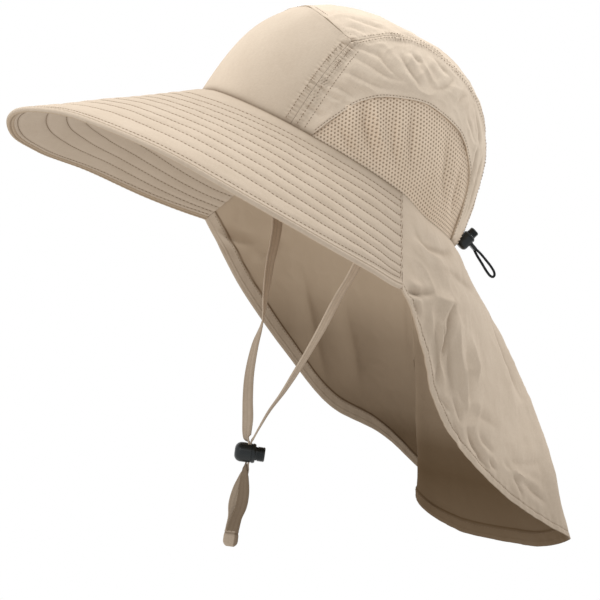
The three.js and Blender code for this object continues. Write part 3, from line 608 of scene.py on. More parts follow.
def top_panel():
    share = np.linspace(0, 1, 190)[:, None]
    across = np.linspace(0, 1, 130)[None]
    last = STRIP_ROWS[-1, 1] + HALF_GAP / 2

    def front(at):
        turn = mix(FRONT_SEAM_TURN, -FRONT_SEAM_TURN, at)
        return chart(turn, front_top(turn) + HALF_GAP / 2)

    def back(at):
        return chart(mix(last, 360 - last, at), 0 * at + SKIRT_RISE)

    def left(at):
        turn, rise = seam_point(STRIP_ROWS, np.minimum(at / 0.97, 1), 0 * at + HALF_GAP / 2)
        rise = mix(rise, SKIRT_RISE, np.clip((at - 0.97) / 0.03, 0, 1))
        spot = chart(turn, rise)
        return mix(front(0 * at), spot, smooth(at / 0.02)[..., None])

    a = left(share)
    b = a * [-1, 1]
    s, t = share[..., None], across[..., None]
    one, none = np.ones_like(across), np.zeros_like(across)
    corners = mix(mix(front(none), front(one), t), mix(back(none), back(one), t), s)
    spots = mix(a, b, t) + mix(front(across), back(across), s) - corners
    points, out = on_chart(spots), chart_normal(spots)
    lift, shade = crown_relief(points, from_chart(spots)[1])
    outer = points + out * lift[..., None]
    inner = outer - out * CLOTH_WALL
    return cloth_piece("crown_top_cloth", tilt(outer), tilt(inner), 100 * spots, shade, ["crown_top"],
                       CROWN)


# how far the side panels lie over the windows, and the second stitching lies from its seam
LAP, STITCH_OFF = 1.6, 2.2


def side_panel(side, node):
    along = np.linspace(0, 1, 230)[:, None]
    climb = np.linspace(0, 1, 64)[None] ** 1.1
    place = along * 20
    shift = LAP / CROWN_DEGREE
    arch_turn, arch_rise = seam_point(ARCH_ROWS, np.clip((place - 3) / 16, 0, 1), 0 * place - shift)
    first, last = ARCH_ROWS[0, 1] + 0.6, ARCH_ROWS[-1, 1] - 0.6

    def low_edge(corner, foot, arch, end):
        """The panel's lower edge: from its front corner to the arch's foot, over the arch and down."""
        edge = np.where(place < 2, mix(corner, foot, np.minimum(place / 2, 1)), arch)
        edge = np.where((place >= 2) & (place < 3), mix(foot, arch, np.clip(place - 2, 0, 1)), edge)
        return np.where(place > 19, mix(arch, end, np.clip(place - 19, 0, 1)), edge)

    low_turn = low_edge(FRONT_SEAM_TURN + HALF_GAP / 2, first, arch_turn, last)
    low_rise = low_edge(SKIRT_RISE, SKIRT_RISE, arch_rise, SKIRT_RISE)
    climbed = np.minimum(along ** 1.15 / 0.985, 1)
    up_turn, up_rise = seam_point(STRIP_ROWS, climbed, 0 * along - HALF_GAP / 2)
    up_rise = mix(up_rise, SKIRT_RISE, np.clip((along - 0.985) / 0.015, 0, 1))
    turn, rise = mix(low_turn, up_turn, climb), mix(low_rise, up_rise, climb)
    points = crown_point(turn, rise)
    share = np.linspace(0, 1, 80)
    arch = crown_point(*seam_point(ARCH_ROWS, share, 0 * share - shift))
    off, _ = near_line(points, arch)
    edge = 0.5 * bell(off, 3.5) - 0.2 * bell(off - 1.1, 0.4)
    return crown_cloth(side * turn, rise, f"crown_{node}", edge * smooth((rise + 1) / 3))


def net(side, node):
    """The window's net: light threads round small pits darkened with painted shade, tucked under the cloth
    about it.
    """
    pitch, hole, pit, wall = 2.2, 0.68, 0.4, 0.7
    step = pitch / CROWN_DEGREE
    angle = np.radians(60 * np.arange(6) + 30)
    ring = np.stack([np.cos(angle), np.sin(angle)], -1) / CROWN_DEGREE
    places, keys, cells = [], {}, []

    def corner(spot):
        key = (round(spot[0] * 50), round(spot[1] * 50))
        if key not in keys:
            keys[key] = len(places)
            places.append((*spot, 0))
        return keys[key]

    def inner(spot, deep):
        places.append((*spot, deep))
        return len(places) - 1

    for row in range(-3, 60):
        rise = row * step * 0.866
        for column in range(0, 80):
            turn = ARCH_ROWS[0, 1] - 2 + (column + 0.5 * (row % 2)) * step
            top = read(ARCH_ROWS[:, [1, 2]], 1, turn) + 1.2
            if not (SKIRT_RISE + 0.4 < rise < top and ARCH_ROWS[0, 1] < turn < ARCH_ROWS[-1, 1]):
                continue
            middle = np.array([turn, rise])
            cells.append(([corner(middle + r * pitch * 0.5774) for r in ring],
                          [inner(middle + r * hole, 0) for r in ring],
                          [inner(middle + r * hole * 0.8, 1) for r in ring]))
    spots = np.array(places)
    turn, rise, deep = spots.T
    points = crown_point(turn, rise)
    lift, shade = creases(points, crown_point, NET_CREASES)
    lift = lift + 0.8 * noise(points, 22, 5) - 0.35
    lift = np.where(rise < 1, np.minimum(lift, 0), lift)
    out = crown_normal(turn, rise)
    rims = sorted(keys.values())
    below = {k: len(spots) + n for n, k in enumerate(rims)}
    top = points + out * (lift - pit * deep)[:, None]
    under = (points + out * (lift - wall)[:, None])[rims]
    faces, edges = [], set()
    for rim, mouth, floor in cells:
        for k in range(6):
            n = (k + 1) % 6
            faces.append([rim[k], rim[n], mouth[n], mouth[k]])
            faces.append([mouth[k], mouth[n], floor[n], floor[k]])
            edges.add((rim[k], rim[n]))
        faces += [floor[:4], [floor[0]] + floor[3:]]
        bottom = [below[k] for k in rim[::-1]]
        faces += [bottom[:4], [bottom[0]] + bottom[3:]]
    faces += [[b, a, below[a], below[b]] for a, b in edges if (b, a) not in edges]
    both = np.concatenate([top, under]) * [side, 1, 1]
    flat = flat_spot(turn, rise)
    # painted shade: the pits' floors, the fold lines and the darker underside
    return make(f"net_{node}", tilt(both), faces, [f"mesh_window_{node}"], "mesh", finish=NET, sharp=180,
                spot=np.column_stack([np.concatenate([flat, flat[rims]]), np.zeros(len(both))]),
                inside=np.repeat([0, 1], [len(spots), len(rims)]),
                shade=np.concatenate([0.5 * shade + 0.75 * deep, shade[rims]]))


def crown_row(turn, rise, lifted=0.1):
    lift, _ = crown_shape(turn, rise)
    out = crown_normal(turn, rise)
    return tilt(crown_point(turn, rise) + out * (lift + lifted)[..., None]), tilt(out)


def crown_stitching():
    rows = []
    climb = np.linspace(1, STRIP_ROWS[0, 2] - 1, 70)
    share = np.linspace(0.02, 0.99, 160)
    over = np.linspace(-FRONT_SEAM_TURN + 1, FRONT_SEAM_TURN - 1, 90)
    rows.append(crown_row(over, front_top(over) + STITCH_OFF / CROWN_DEGREE))
    for side in (1, -1):
        for turn in BAND_TURNS:
            rows.append(crown_row(side * (turn + 0 * climb), climb))
        for shift in (STITCH_OFF, -STITCH_OFF):
            turn, rise = seam_point(STRIP_ROWS, share, 0 * share + shift / CROWN_DEGREE)
            rows.append(crown_row(side * turn, np.maximum(rise, 0.5)))
        turn, rise = seam_point(ARCH_ROWS, share, 0 * share + (1.1 - LAP) / CROWN_DEGREE)
        line, out = crown_row(side * turn, rise)
        rows.append((line + out * 0.3, out))
    return stitches("stitching_crown", rows, pitch=2.2, long=1.35, thick=0.36)


# Brim

# shares of the brim's width where it is stitched, at three turns
STITCH_TURNS = (20, 50, 88)
STITCH_SHARES = np.array([
    (0.145, 0.104, 0.094), (0.216, 0.169, 0.167), (0.287, 0.244, 0.259), (0.366, 0.326, 0.366),
    (0.436, 0.413, 0.472), (0.521, 0.505, 0.590), (0.607, 0.607, 0.690), (0.690, 0.706, 0.780),
    (0.796, 0.808, 0.860)])


def stitch_distances(turn):
    """Distances from the crown of the brim's rows of stitching. The last one edges the binding."""
    rows = [brim_reach(turn) * np.interp(np.abs(turn), STITCH_TURNS, row) for row in STITCH_SHARES]
    return rows + [brim_reach(turn) - BINDING_WIDTH - SEAM_GAP - 1.3]


def brim_shape(turn, distance):
    rows = np.stack(stitch_distances(turn))
    off = np.abs(rows - distance).min(0)
    points = stack(turn * 2.2, distance)
    puff = 0.62 * (1 - bell(off, 2.1))
    ripple = 0.16 * noise(points * [1, 0.35], 3.2, 11) * bell(off - 1.5, 1.6)
    lift = puff + ripple + 0.35 * noise(points, 24, 12) + 0.1 * noise(points, 6, 13)
    # painted shade in the stitched rows' grooves and along the brim's joint with the crown
    shade = 0.33 * bell(off, 0.7) + 0.85 * np.exp(-distance / 1.6)
    return lift * smooth(distance / 5) * smooth((brim_reach(turn) - distance - 4.5) / 3), shade


# how far the brim's underside goes from the outer tone to the darker inner one, a painted shade
UNDER_BRIM = 0.1


def brim_cloth():
    turn = np.linspace(-BRIM_END, BRIM_END, 400)[:, None]
    share = np.linspace(0, 1, 108)[None]
    width = brim_reach(turn) - BINDING_WIDTH + 0.6
    distance = width * share
    lift, shade = brim_shape(turn + 0 * share, distance)
    way = unit(brim_depth(turn, share))
    top = brim_point(turn, distance)
    outer = top + way * lift[..., None]
    thick = BRIM_WALL / np.maximum((way * brim_depth(turn, np.ones_like(share))).sum(-1), 0.3)
    inner = top - way * (thick + 0.6 * lift)[..., None]
    flat = stack(turn * 2.6 + 0 * share, distance)
    # painted shade: the underside darker, and the top darker towards the wearer's left end
    return cloth_piece("brim_cloth", tilt(outer), tilt(inner), flat, shade, ["brim"],
                       inside_shade_tone=UNDER_BRIM, gloom_out=0.11 * smooth((turn - 25) / 40))


def brim_stitching():
    rows = []
    turn = np.linspace(-BRIM_END + 0.4, BRIM_END - 0.4, 500)
    one = np.ones_like(turn)
    way = unit(brim_depth(turn, one))
    for distance in stitch_distances(turn):
        lift, _ = brim_shape(turn, distance)
        top = brim_point(turn, distance)
        share = distance / brim_reach(turn)
        leaning = unit(brim_depth(turn, share))
        thick = BRIM_WALL / np.maximum((leaning * brim_depth(turn, one)).sum(-1), 0.3)
        rows.append((tilt(top + leaning * (lift + 0.08)[..., None]), tilt(way)))
        rows.append((tilt(top - leaning * (thick + 0.6 * lift + 0.08)[..., None]), tilt(-way)))
    for side in (1, -1):
        end = np.full(60, side * (BRIM_END - 1.0))
        reach = np.linspace(3, brim_reach(end[0]) - 6, 60)
        lift, _ = brim_shape(end, reach)
        way = unit(brim_depth(end, reach / brim_reach(end)))
        rows.append((tilt(brim_point(end, reach) + way * (lift + 0.1)[..., None]), tilt(way)))
    return stitches("stitching_brim", rows)


def binding():
    """The rolled edge: two rolls side by side, with a groove between them."""
    turn = np.linspace(-BRIM_END, BRIM_END, 420)
    angle = np.linspace(0, 2 * np.pi, 28, endpoint=False)
    square = brim_depth(turn, np.ones_like(turn))
    run = brim_point(turn, 1 + 0 * turn) - brim_point(turn, 0 * turn)
    middle = brim_point(turn, brim_reach(turn) - BINDING_WIDTH / 2) - square * BRIM_WALL / 2
    across = BINDING_WIDTH / 2 * np.cos(angle)
    through = BINDING_WALL / 2 * np.abs(np.sin(angle)) ** 0.8 * np.sign(np.sin(angle))
    groove = bell(across - 0.2, 0.45)
    wave = 0.09 * np.sin(turn * 5.2 + 2 * noise(turn[:, None], 3, 21))[:, None] * (1 - groove)
    through = through[None] * (1.0 - 0.3 * groove + wave)
    points = (middle[:, None] + run[:, None] * across[None, :, None] + square[:, None] * through[..., None])
    # painted shade in the groove between the rolls and along the inner edge; the lower side takes the
    # darker inside tone
    shade = 0.75 * groove + 0.35 * bell(across + BINDING_WIDTH / 2, 0.7)
    spot = np.column_stack([np.repeat(turn * 3, 28), np.tile(across, 420), np.zeros(28 * 420)])
    return make("binding", tilt(points).reshape(-1, 3), loft_faces(420, 28), ["brim_binding"], finish=CLOTH,
                sharp=80, spot=spot, inside=np.tile(np.sin(angle) < -0.3, 420), shade=np.tile(shade, 420))


# Neck flap

# line in turns and drops, width and depth of the fold
FLAP_CREASES = [
    ([(109, 0.68), (110.5, 0.73), (112.5, 0.77), (115, 0.81)], 1.7, 1.8),
    ([(105.5, 0.81), (109.5, 0.86), (113.5, 0.9), (116, 0.97)], 4.5, 1.8),
    ([(115.5, 0.46), (118, 0.64), (122.5, 0.76), (126, 0.83)], 5, -2.2),
    ([(125.5, 0.48), (129.5, 0.58), (131.5, 0.69)], 6, -1.8),
    ([(127, 0.89), (130.5, 0.92), (134.5, 0.95), (138.5, 0.96)], 2.2, 1.7),
    ([(123, 0.94), (125.5, 0.96), (128.5, 0.98)], 1.7, 1.1),
    ([(145.5, 0.89), (148, 0.93), (149.5, 0.96)], 1.8, 1.0),
    ([(150, 0.9), (154, 0.91), (158.5, 0.92)], 2.0, 1.0),
    ([(141.5, 0.87), (144.5, 0.88), (147, 0.87)], 1.5, 0.7),
    ([(128, 0.83), (135, 0.78), (141.5, 0.76)], 2.6, 0.7),
    ([(141.5, 0.86), (149, 0.83), (163, 0.73)], 3, 0.8),
    ([(97, 0.37), (101, 0.4), (110.5, 0.3)], 5, -1.6),
    ([(97, 0.18), (100.5, 0.33), (109, 0.24), (128, 0.06)], 5, 1.8),
    ([(94.5, 0.99), (97.5, 0.88), (101.5, 0.77)], 2.2, 1.6),
    ([(97, 0.97), (100, 0.92), (101.5, 0.95)], 1.6, 1.2),
    ([(101, 0.53), (113.5, 0.32), (158, 0.13)], 6, 1.5),
    ([(109.5, 0.57), (114, 0.72), (119, 0.83), (123.5, 0.89)], 5.5, 1.6),
    ([(159, 0.23), (157, 0.38), (157.5, 0.56)], 7, 1.8),
    ([(264, 0.95), (258, 0.86), (251.5, 0.67)], 3, 2.0),
    ([(251.5, 0.83), (249, 0.66), (247, 0.5)], 4, 1.8),
    ([(241.5, 0.52), (233.5, 0.76), (227.5, 0.94)], 6, 2.2),
    ([(227, 0.44), (222.5, 0.69), (221, 0.9)], 7, 2.2),
    ([(170, 0.3), (173, 0.6), (176, 0.9)], 8, 2.0),
    ([(205, 0.2), (207, 0.4), (209, 0.6)], 6, 1.6),
    ([(94.5, 0.99), (97.5, 0.89), (100.5, 0.78), (106, 0.59)], 1.6, 1.4),
    ([(117, 0.46), (113, 0.62), (113, 0.76), (114.5, 0.89)], 2.2, 1.7),
    ([(111, 0.54), (109, 0.74), (110.5, 0.86)], 1.9, -1.5),
    ([(120, 0.63), (122, 0.7), (125.5, 0.79), (128, 0.87)], 2.4, -1.7),
    ([(104, 0.77), (107.5, 0.85), (115, 0.88), (119, 0.91)], 1.8, -1.2),
    ([(120.5, 0.88), (124, 0.89), (126.5, 0.93)], 1.6, 1.1),
    ([(136.5, 0.91), (138, 0.93), (140.5, 0.94)], 1.4, 1.0),
    ([(143, 0.88), (149, 0.88), (158, 0.86)], 1.6, -1.0),
    ([(115.5, 0.97), (120, 0.94), (123, 0.93)], 1.5, 0.9),
    ([(132, 0.86), (135.5, 0.88), (139.5, 0.88)], 1.5, 0.8),
    ([(102.5, 0.7), (109, 0.59), (119.5, 0.41)], 3, -1.5),
]
# how dark the flap's inside is painted as shadow, at depths under the head opening
PAINTED_SHADE_ROWS = np.array([(60, 0.02), (92, 0.12), (124, 0.46), (156, 0.57),
                       (176, 0.68), (194, 0.88), (214, 0.93), (250, 0.84)])


def flap_length(turn):
    return np.linalg.norm(flap_hem(turn) - flap_foot(turn), axis=-1)


def hem_turns(count):
    """Turns that space the flap's columns evenly along its hem."""
    fine = np.linspace(*FLAP_ENDS, 1500)
    reach = np.r_[0, np.cumsum(np.linalg.norm(np.diff(flap_hem(fine), axis=0), axis=-1))]
    crowd = np.cumsum(np.gradient(reach) * np.where(fine < 170, 1.7, 1))
    even = np.interp(np.linspace(crowd[0], crowd[-1], count), crowd, fine)
    return mix(even, np.linspace(*FLAP_ENDS, count), 0.25)


def flap_shape(turn, drop):
    points = flap_point(turn, drop)
    lift, shade = creases(points, flap_point, FLAP_CREASES, 1.3)
    down = (1 - drop) * flap_length(turn)
    crumpled = 0.4 + 0.6 * smooth((150 - turn) / 30) * smooth((drop - 0.35) / 0.3)
    lift = lift + 0.9 * noise(points, 30, 31) + crumpled * (1.1 * crumple(points, 19, 90) + 0.4)
    lift = lift + 0.25 * crumple(points, 8, 95)
    ripple = np.sin(turn * 2.4 + 3 * noise(stack(turn, 0 * turn), 4, 33))
    lift = lift + 0.22 * ripple * bell(down - HEM_STITCH, 5)
    lift = lift + 0.3 * smooth((6.0 - down) / 2) - 0.45 * bell(down - HEM_STITCH, 0.7)
    ends = np.minimum(turn - FLAP_ENDS[0], FLAP_ENDS[1] - turn)
    lift = lift * smooth(drop / 0.06) * smooth(ends / 5)
    # painted shade in the hem's stitched groove and at the flap's foot under the brim
    shade = shade + 0.3 * bell(down - HEM_STITCH, 0.5) + 0.6 * np.exp(-drop / 0.006)
    return lift, shade, down


def flap_way(turn, drop):
    """The way the flap's thickness points."""
    out = flap_normal(turn, drop)
    way = unit(mix(out, tilt(UP), np.maximum(0, 1 - drop / 0.15)[..., None]))
    for end in FLAP_ENDS:
        at = np.asarray(float(signed(end)))
        brim_way = unit(tilt(brim_depth(at, drop)))
        way = unit(mix(way, brim_way, near_end(turn, end, 6)[..., None]))
    return way, out


def neck_flap():
    turn = hem_turns(380)[:, None]
    drop = np.r_[np.linspace(0, 0.9, 92), np.linspace(0.9, 1, 30)[1:]][None]
    turn, drop = np.broadcast_arrays(turn, drop)
    lift, shade, down = flap_shape(turn, drop)
    way, out = flap_way(turn, drop)
    outer = flap_point(turn, drop) + out * lift[..., None]
    wall = FLAP_WALL + (HEM_WALL - FLAP_WALL) * smooth((HEM_WIDTH + 0.5 - down) / 1.0)
    wall = wall - 0.7 * bell(down, 0.9)
    band = smooth((HEM_WIDTH + 0.3 - down) / 0.6)
    inner = outer - way * (wall / np.maximum((way * out).sum(-1), 0.5))[..., None]
    # painted shadow line on the inside, under the hem's folded edge
    step = 0.95 * bell(down - HEM_WIDTH - 0.5, 0.55)
    band = band * smooth((turn - 196) / 18)
    # painted shadow inside the flap, deeper further down, less on the hem band
    gloom = np.interp(-inner[..., 2], *PAINTED_SHADE_ROWS.T) * (1 - 0.35 * band)
    # painted shade: the inside's darker tone except on the hem band, and the outside darker towards the
    # bottom
    return cloth_piece("neck_flap_cloth", outer, inner, stack(turn * 3.4, drop * 180), shade, ["neck_flap"],
                       inside_shade_tone=1 - 0.75 * band, shade_inside=shade * 0.5 + step, gloom=gloom,
                       gloom_out=0.02 + 0.24 * smooth((-outer[..., 2] - 160) / 50))


def flap_stitching():
    turns = np.clip(hem_turns(700), FLAP_ENDS[0] + 0.5, FLAP_ENDS[1] - 0.5)
    rows = []
    for down, inside in ((HEM_STITCH, 1), (HEM_WIDTH - 1.2, -1)):
        drop = 1 - down / flap_length(turns)
        lift, _, _ = flap_shape(turns, drop)
        way, out = flap_way(turns, drop)
        line = flap_point(turns, drop) + out * (lift + 0.1)[..., None]
        if inside < 0:
            line = line - way * ((HEM_WALL + 0.2) / np.maximum((way * out).sum(-1), 0.5))[..., None]
        rows.append((line, out * inside))
    return stitches("stitching_flap", rows, pitch=2.4, long=1.4, thick=0.27)


# Chin strap

def tape_points(rows, steps):
    """A flat tape through rows of (place, face, width), with folded edges and a line down its middle."""
    places = np.array([row[0] for row in rows])
    keys = np.array([(k / (len(rows) - 1), row[1], row[2]) for k, row in enumerate(rows)])
    share = np.linspace(0, 1, steps)
    middle, run = curve(places, share), tangent(places, share)
    face = np.radians(read(keys, 1, share))
    across = stack(np.cos(face), np.sin(face), 0 * face)
    across = unit(across - run * (across * run).sum(-1, keepdims=True))
    through = unit(np.cross(run, across))
    half = read(keys, 2, share) * STRAP_WIDTH / 2
    side = np.array([-1, -0.93, -0.75, -0.4, -0.12, 0, 0.12, 0.4, 0.75, 0.93])
    side = np.r_[side, -side]
    rim = np.where(np.abs(side) > 0.7, 1.0, 0.72)
    rim = np.where(np.abs(side) > 0.9, 0.8, rim)
    rim = np.where(np.abs(side) == 0, 0.5, rim)
    high = np.r_[np.ones(10), -np.ones(10)] * rim
    high[[0, 10]] = 0
    wave = 1 + 0.05 * noise(share[:, None] * 200, 9, 51)
    points = (middle[:, None] + across[:, None] * (half * wave)[:, None, None] * side[None, :, None]
              + through[:, None] * STRAP_WALL / 2 * high[None, :, None])
    return points, share, side


def plan_way(turn):
    return np.array([np.cos(np.radians(turn)), np.sin(np.radians(turn)), 0.0])


def inside_crown(rise):
    inset = CLOTH_WALL + 3.5 * CLEARANCE + STRAP_WALL / 2
    at = np.asarray(90.0)
    return tilt(crown_point(at, np.asarray(float(rise))) - outward(at) * inset)


SEAT = inside_crown(0)
CHIN_LOCK_AT = np.array([0, SEAT[1] - STRAP_FORE, SEAT[2] - STRAP_DROP])


def strap_rows(side, rows):
    climb = unit(inside_crown(9) - SEAT)
    flip = np.array([side, 1, 1])
    edge_on = LOCK_TURN - 90

    def rolled(drop, roll, slide, apart, width):
        swing = TAIL_LEAN * max(0, drop - LOCK_RADIUS) / (TAIL_LENGTH - LOCK_RADIUS)
        place = (CHIN_LOCK_AT - UP * drop - plan_way(LOCK_TURN) * swing
                 + plan_way(edge_on + roll + 90) * side * apart / 2
                 - plan_way(edge_on + roll) * side * slide * STRAP_WIDTH)
        return place, edge_on + roll + 180, width

    held = (0, 0, STRAP_WALL + CLEARANCE, STRAP_PINCH / STRAP_WIDTH)
    path = [((SEAT + climb * high) * flip, 90, 1) for high in (STRAP_SEAT, STRAP_SEAT / 2, 0, -5)]
    path += [(SEAT * [side * a, 1, 1] - [0, STRAP_FORE * f, STRAP_DROP * d], *rest)
             for a, f, d, *rest in rows]
    path += [rolled(-LOCK_RADIUS - 0.6, *held), rolled(0, *held), rolled(LOCK_RADIUS + 0.6, *held)]
    return path + [rolled(TAIL_LENGTH * down, *row) for down, *row in TAIL_ROWS]


def strap(side, rows, node):
    points, share, across = tape_points(strap_rows(side, rows), 240)
    steps, ring = points.shape[:2]
    line = bell(across, 0.09)
    # painted shade down the tape's middle groove and along its folded edges
    shade = 0.16 * line + 0.2 * (np.abs(np.abs(across) - 0.72) < 0.06)
    spot = stack(np.tile(across * 4, steps), np.repeat(share * 260, ring), 0)
    # painted shade: the tape darker lower down and on its tail, most on the wearer's right
    painted_dark = 0.36 * smooth((share - 0.3) / 0.18)
    painted_dark = np.repeat(mix(painted_dark, 0.5 if side > 0 else 0.78, smooth((share - 0.7) / 0.03)), ring)
    return make(f"strap_{node}", points.reshape(-1, 3), loft_faces(steps, ring), [f"chin_strap_{node}"],
                finish=TAPE, sharp=60, spot=spot, shade=np.tile(shade, steps), gloom=painted_dark)


def strap_tab():
    """The strap's folded end, a soft pad with a row of stitches across it."""
    top = CHIN_LOCK_AT[2] - TAIL_LENGTH + 1.5
    at = CHIN_LOCK_AT - plan_way(LOCK_TURN) * TAIL_LEAN
    down = np.linspace(0, 1, 40)
    angle = np.linspace(0, 2 * np.pi, 32, endpoint=False)
    half = TAB_WIDTH / 2 * (1 - 0.45 * np.clip((down - 0.68) / 0.32, 0, 1) ** 2.2)
    start = bell(down, 0.05)
    half = half * (1 - 0.08 * bell(down - 0.2, 0.1)) * (1 - 0.3 * start)
    thick = TAB_WALL / 2 * np.sqrt(np.clip(1 - np.clip((down - 0.8) / 0.21, 0, 1) ** 2, 0.03, 1))
    thick = thick * (1 - 0.25 * bell(down - 0.2, 0.08)) * (1 - 0.7 * start)
    c, s = np.cos(angle), np.sin(angle)
    a = half[:, None] * np.sign(c) * np.abs(c) ** 0.6
    b = thick[:, None] * np.sign(s) * np.abs(s) ** 0.7
    b = b * (1 - 0.18 * bell(a, 0.5))
    points = (np.array([at[0], at[1], top]) + plan_way(LOCK_TURN) * a[..., None]
              + plan_way(LOCK_TURN + 90) * b[..., None] - UP * (down * (TAB_LENGTH + 2))[:, None, None])
    # painted shade in the stitched groove across the pad, over the whole pad and more on one edge
    shade = 0.6 * bell(down - 0.2, 0.07)[:, None] + 0 * a
    spot = np.stack([a, 0 * a + down[:, None] * TAB_LENGTH, 0 * a], -1).reshape(-1, 3)
    return make("strap_end_tape", points.reshape(-1, 3), loft_faces(40, 32), ["strap_end"], finish=TAPE,
                spot=spot, shade=shade.ravel(), gloom=(0.4 + 0.35 * (a > 2.2)).ravel())


# Cord locks

CHIN_LOCK = dict(radius=6.25, length=13.3, bore=5, end=2, tip=1, travel=4, out=6, across=5.2, bundle=2.7,
                 round=4.2)
REAR_LOCK = dict(radius=4.5, length=10.4, bore=3.6, end=1.6, tip=0.8, travel=3, out=4.4, across=4.2,
                 bundle=1.7, round=2.6)
REAR_LOCK_AT = np.array([17.6, 97.6, -38.2])
REAR_AXIS = unit(np.array([0.15, 0.63, 0.76]))
REAR_RUN = np.array([0.1, 0.7, -0.7])
REAR_RUN = unit(REAR_RUN - REAR_AXIS * (REAR_RUN @ REAR_AXIS))
REAR_SIDE = np.cross(REAR_RUN, REAR_AXIS)
# the loop twists below its lock to lie across this way
LOOP_SIDE = unit(np.cross(REAR_RUN, np.array([0.86, -0.5, 0.12])))
LOOP_SIDE = LOOP_SIDE * np.sign(LOOP_SIDE @ REAR_SIDE)
CORD_OUT = [(16.6, 90.6, -31.2), (16.8, 91.9, -32.5)]
# along, side, fall
LOOP_ROWS = [(8, 1.0, 0), (13, 1.25, 0.4), (19, 1.7, 1), (25, 2.05, 1.8), (28.8, 1.7, 2.4),
             (30.3, 0.7, 2.7)]


def lathe(profile, sides):
    """Points and faces of a profile of (radius, along) turned about the X axis."""
    angle = np.linspace(0, 2 * np.pi, sides, endpoint=False)
    profile = np.array(profile)
    points = stack(profile[:, 1][:, None] + 0 * angle, profile[:, 0][:, None] * np.cos(angle),
                   profile[:, 0][:, None] * np.sin(angle))
    return points.reshape(-1, 3), loft_faces(len(profile), sides)


def cut(piece, points, faces):
    """Takes a closed form out of a piece, both in millimetres at the piece's own place."""
    tool_mesh = bpy.data.meshes.new("tool")
    tool_mesh.from_pydata((points / 1000).tolist(), [], faces)
    tool = bpy.data.objects.new("tool", tool_mesh)
    bpy.context.scene.collection.objects.link(tool)
    tool.matrix_world = piece.matrix_world
    modifier = piece.modifiers.new("cut", "BOOLEAN")
    modifier.operation = "DIFFERENCE"
    modifier.solver = "EXACT"
    modifier.object = tool
    bpy.context.view_layer.update()
    mesh = bpy.data.meshes.new_from_object(piece.evaluated_get(bpy.context.evaluated_depsgraph_get()))
    piece.modifiers.clear()
    piece.data = mesh
    bpy.data.objects.remove(tool)
    mesh.shade_smooth()
    mesh.set_sharp_from_angle(angle=np.radians(38))


def crossing(lock, start, long):
    """A box across a lock that its cords run through."""
    low = np.array([start, -lock["across"] / 2, -2 * lock["radius"]])
    size = np.array([long, lock["across"], 4 * lock["radius"]])
    points = np.array([low + size * [i, j, k] for i in (0, 1) for j in (0, 1) for k in (0, 1)])
    faces = [[0, 1, 3, 2], [4, 6, 7, 5], [0, 4, 5, 1], [2, 3, 7, 6], [0, 2, 6, 4], [1, 5, 7, 3]]
    return points, faces


def lock(sizes, at, basis, name, button_body):
    """A cord lock's barrel and its sliding button, in place and with the cords' hole through both."""
    gap = CLEARANCE
    tip = sizes["end"] + gap + sizes["travel"]
    hole = tip + sizes["tip"] + gap + sizes["bundle"] / 2
    radius, length, bore = sizes["radius"], sizes["length"], sizes["bore"]
    turn = np.radians(np.linspace(0, 90, 14))
    nose = [(max(radius - sizes["round"] * (1 - np.sin(t)), 0.02), sizes["round"] * (1 - np.cos(t)))
            for t in turn]
    ring = length * 0.8
    barrel = [(0.02, 0)] + nose + [
        (radius, ring), (radius - 0.35, ring + 0.12), (radius - 0.35, ring + 0.5), (radius, ring + 0.62),
        (radius, length - 1.3), (radius - 0.15, length - 0.7), (radius - 0.5, length - 0.2),
        (radius - 0.8, length), (bore + 0.2, length),
        (bore, length - 0.3), (bore, sizes["end"]), (0.02, sizes["end"])]
    face = bore - gap
    end = length + sizes["out"]
    ribs = []
    for k in range(5):
        place = length + 0.9 + k * (sizes["out"] - 1.9) / 5
        ribs += [(face - deep, place + far) for deep, far in ((0, 0), (0.22, 0.12), (0.22, 0.4), (0, 0.52))]
    button = [(0.02, tip), (face, tip)] + ribs + [
        (face, end - 0.9), (face - 0.35, end - 0.25), (face - 0.9, end), (0.02, end)]
    basis = np.array(basis)
    made = []
    for part, profile, body, start, long in (
            ("body", barrel, "hat", hole - (sizes["bundle"] + 2 * gap) / 2, sizes["bundle"] + 2 * gap),
            ("button", button, button_body, tip + sizes["tip"],
             sizes["bundle"] + sizes["travel"] + 2 * gap)):
        points, faces = lathe(profile, 72)
        piece = make(f"{name}_{part}_shape", points, faces, [f"{name}_{part}"], "lock", body, LOCK, 38)
        cut(piece, *crossing(sizes, start, long))
        points = np.empty(len(piece.data.vertices) * 3)
        piece.data.vertices.foreach_get("co", points)
        points = points.reshape(-1, 3) - [hole / 1000, 0, 0]
        piece.data.vertices.foreach_set("co", (points @ basis + at / 1000).ravel())
        piece.data.update()
        made.append(piece)
    return made


def cord_path():
    strand = (CORD_DIAMETER + CLEARANCE / 2) / 2

    def along(distance, side, fall):
        across = unit(mix(REAR_SIDE, LOOP_SIDE, smooth((distance - 5) / 12)))
        return REAR_LOCK_AT + REAR_RUN * distance + across * side - UP * fall

    def half(sign):
        rows = [along(d, sign * strand, 0) for d in (-5, 0, 4.6)]
        return rows + [along(d, sign * side, fall) for d, side, fall in LOOP_ROWS]

    holes = [[np.array(p) + REAR_SIDE * sign * 1.1 for p in CORD_OUT] for sign in (1, -1)]
    return curve(holes[0] + half(1) + half(-1)[::-1] + holes[1][::-1], np.linspace(0, 1, 260))


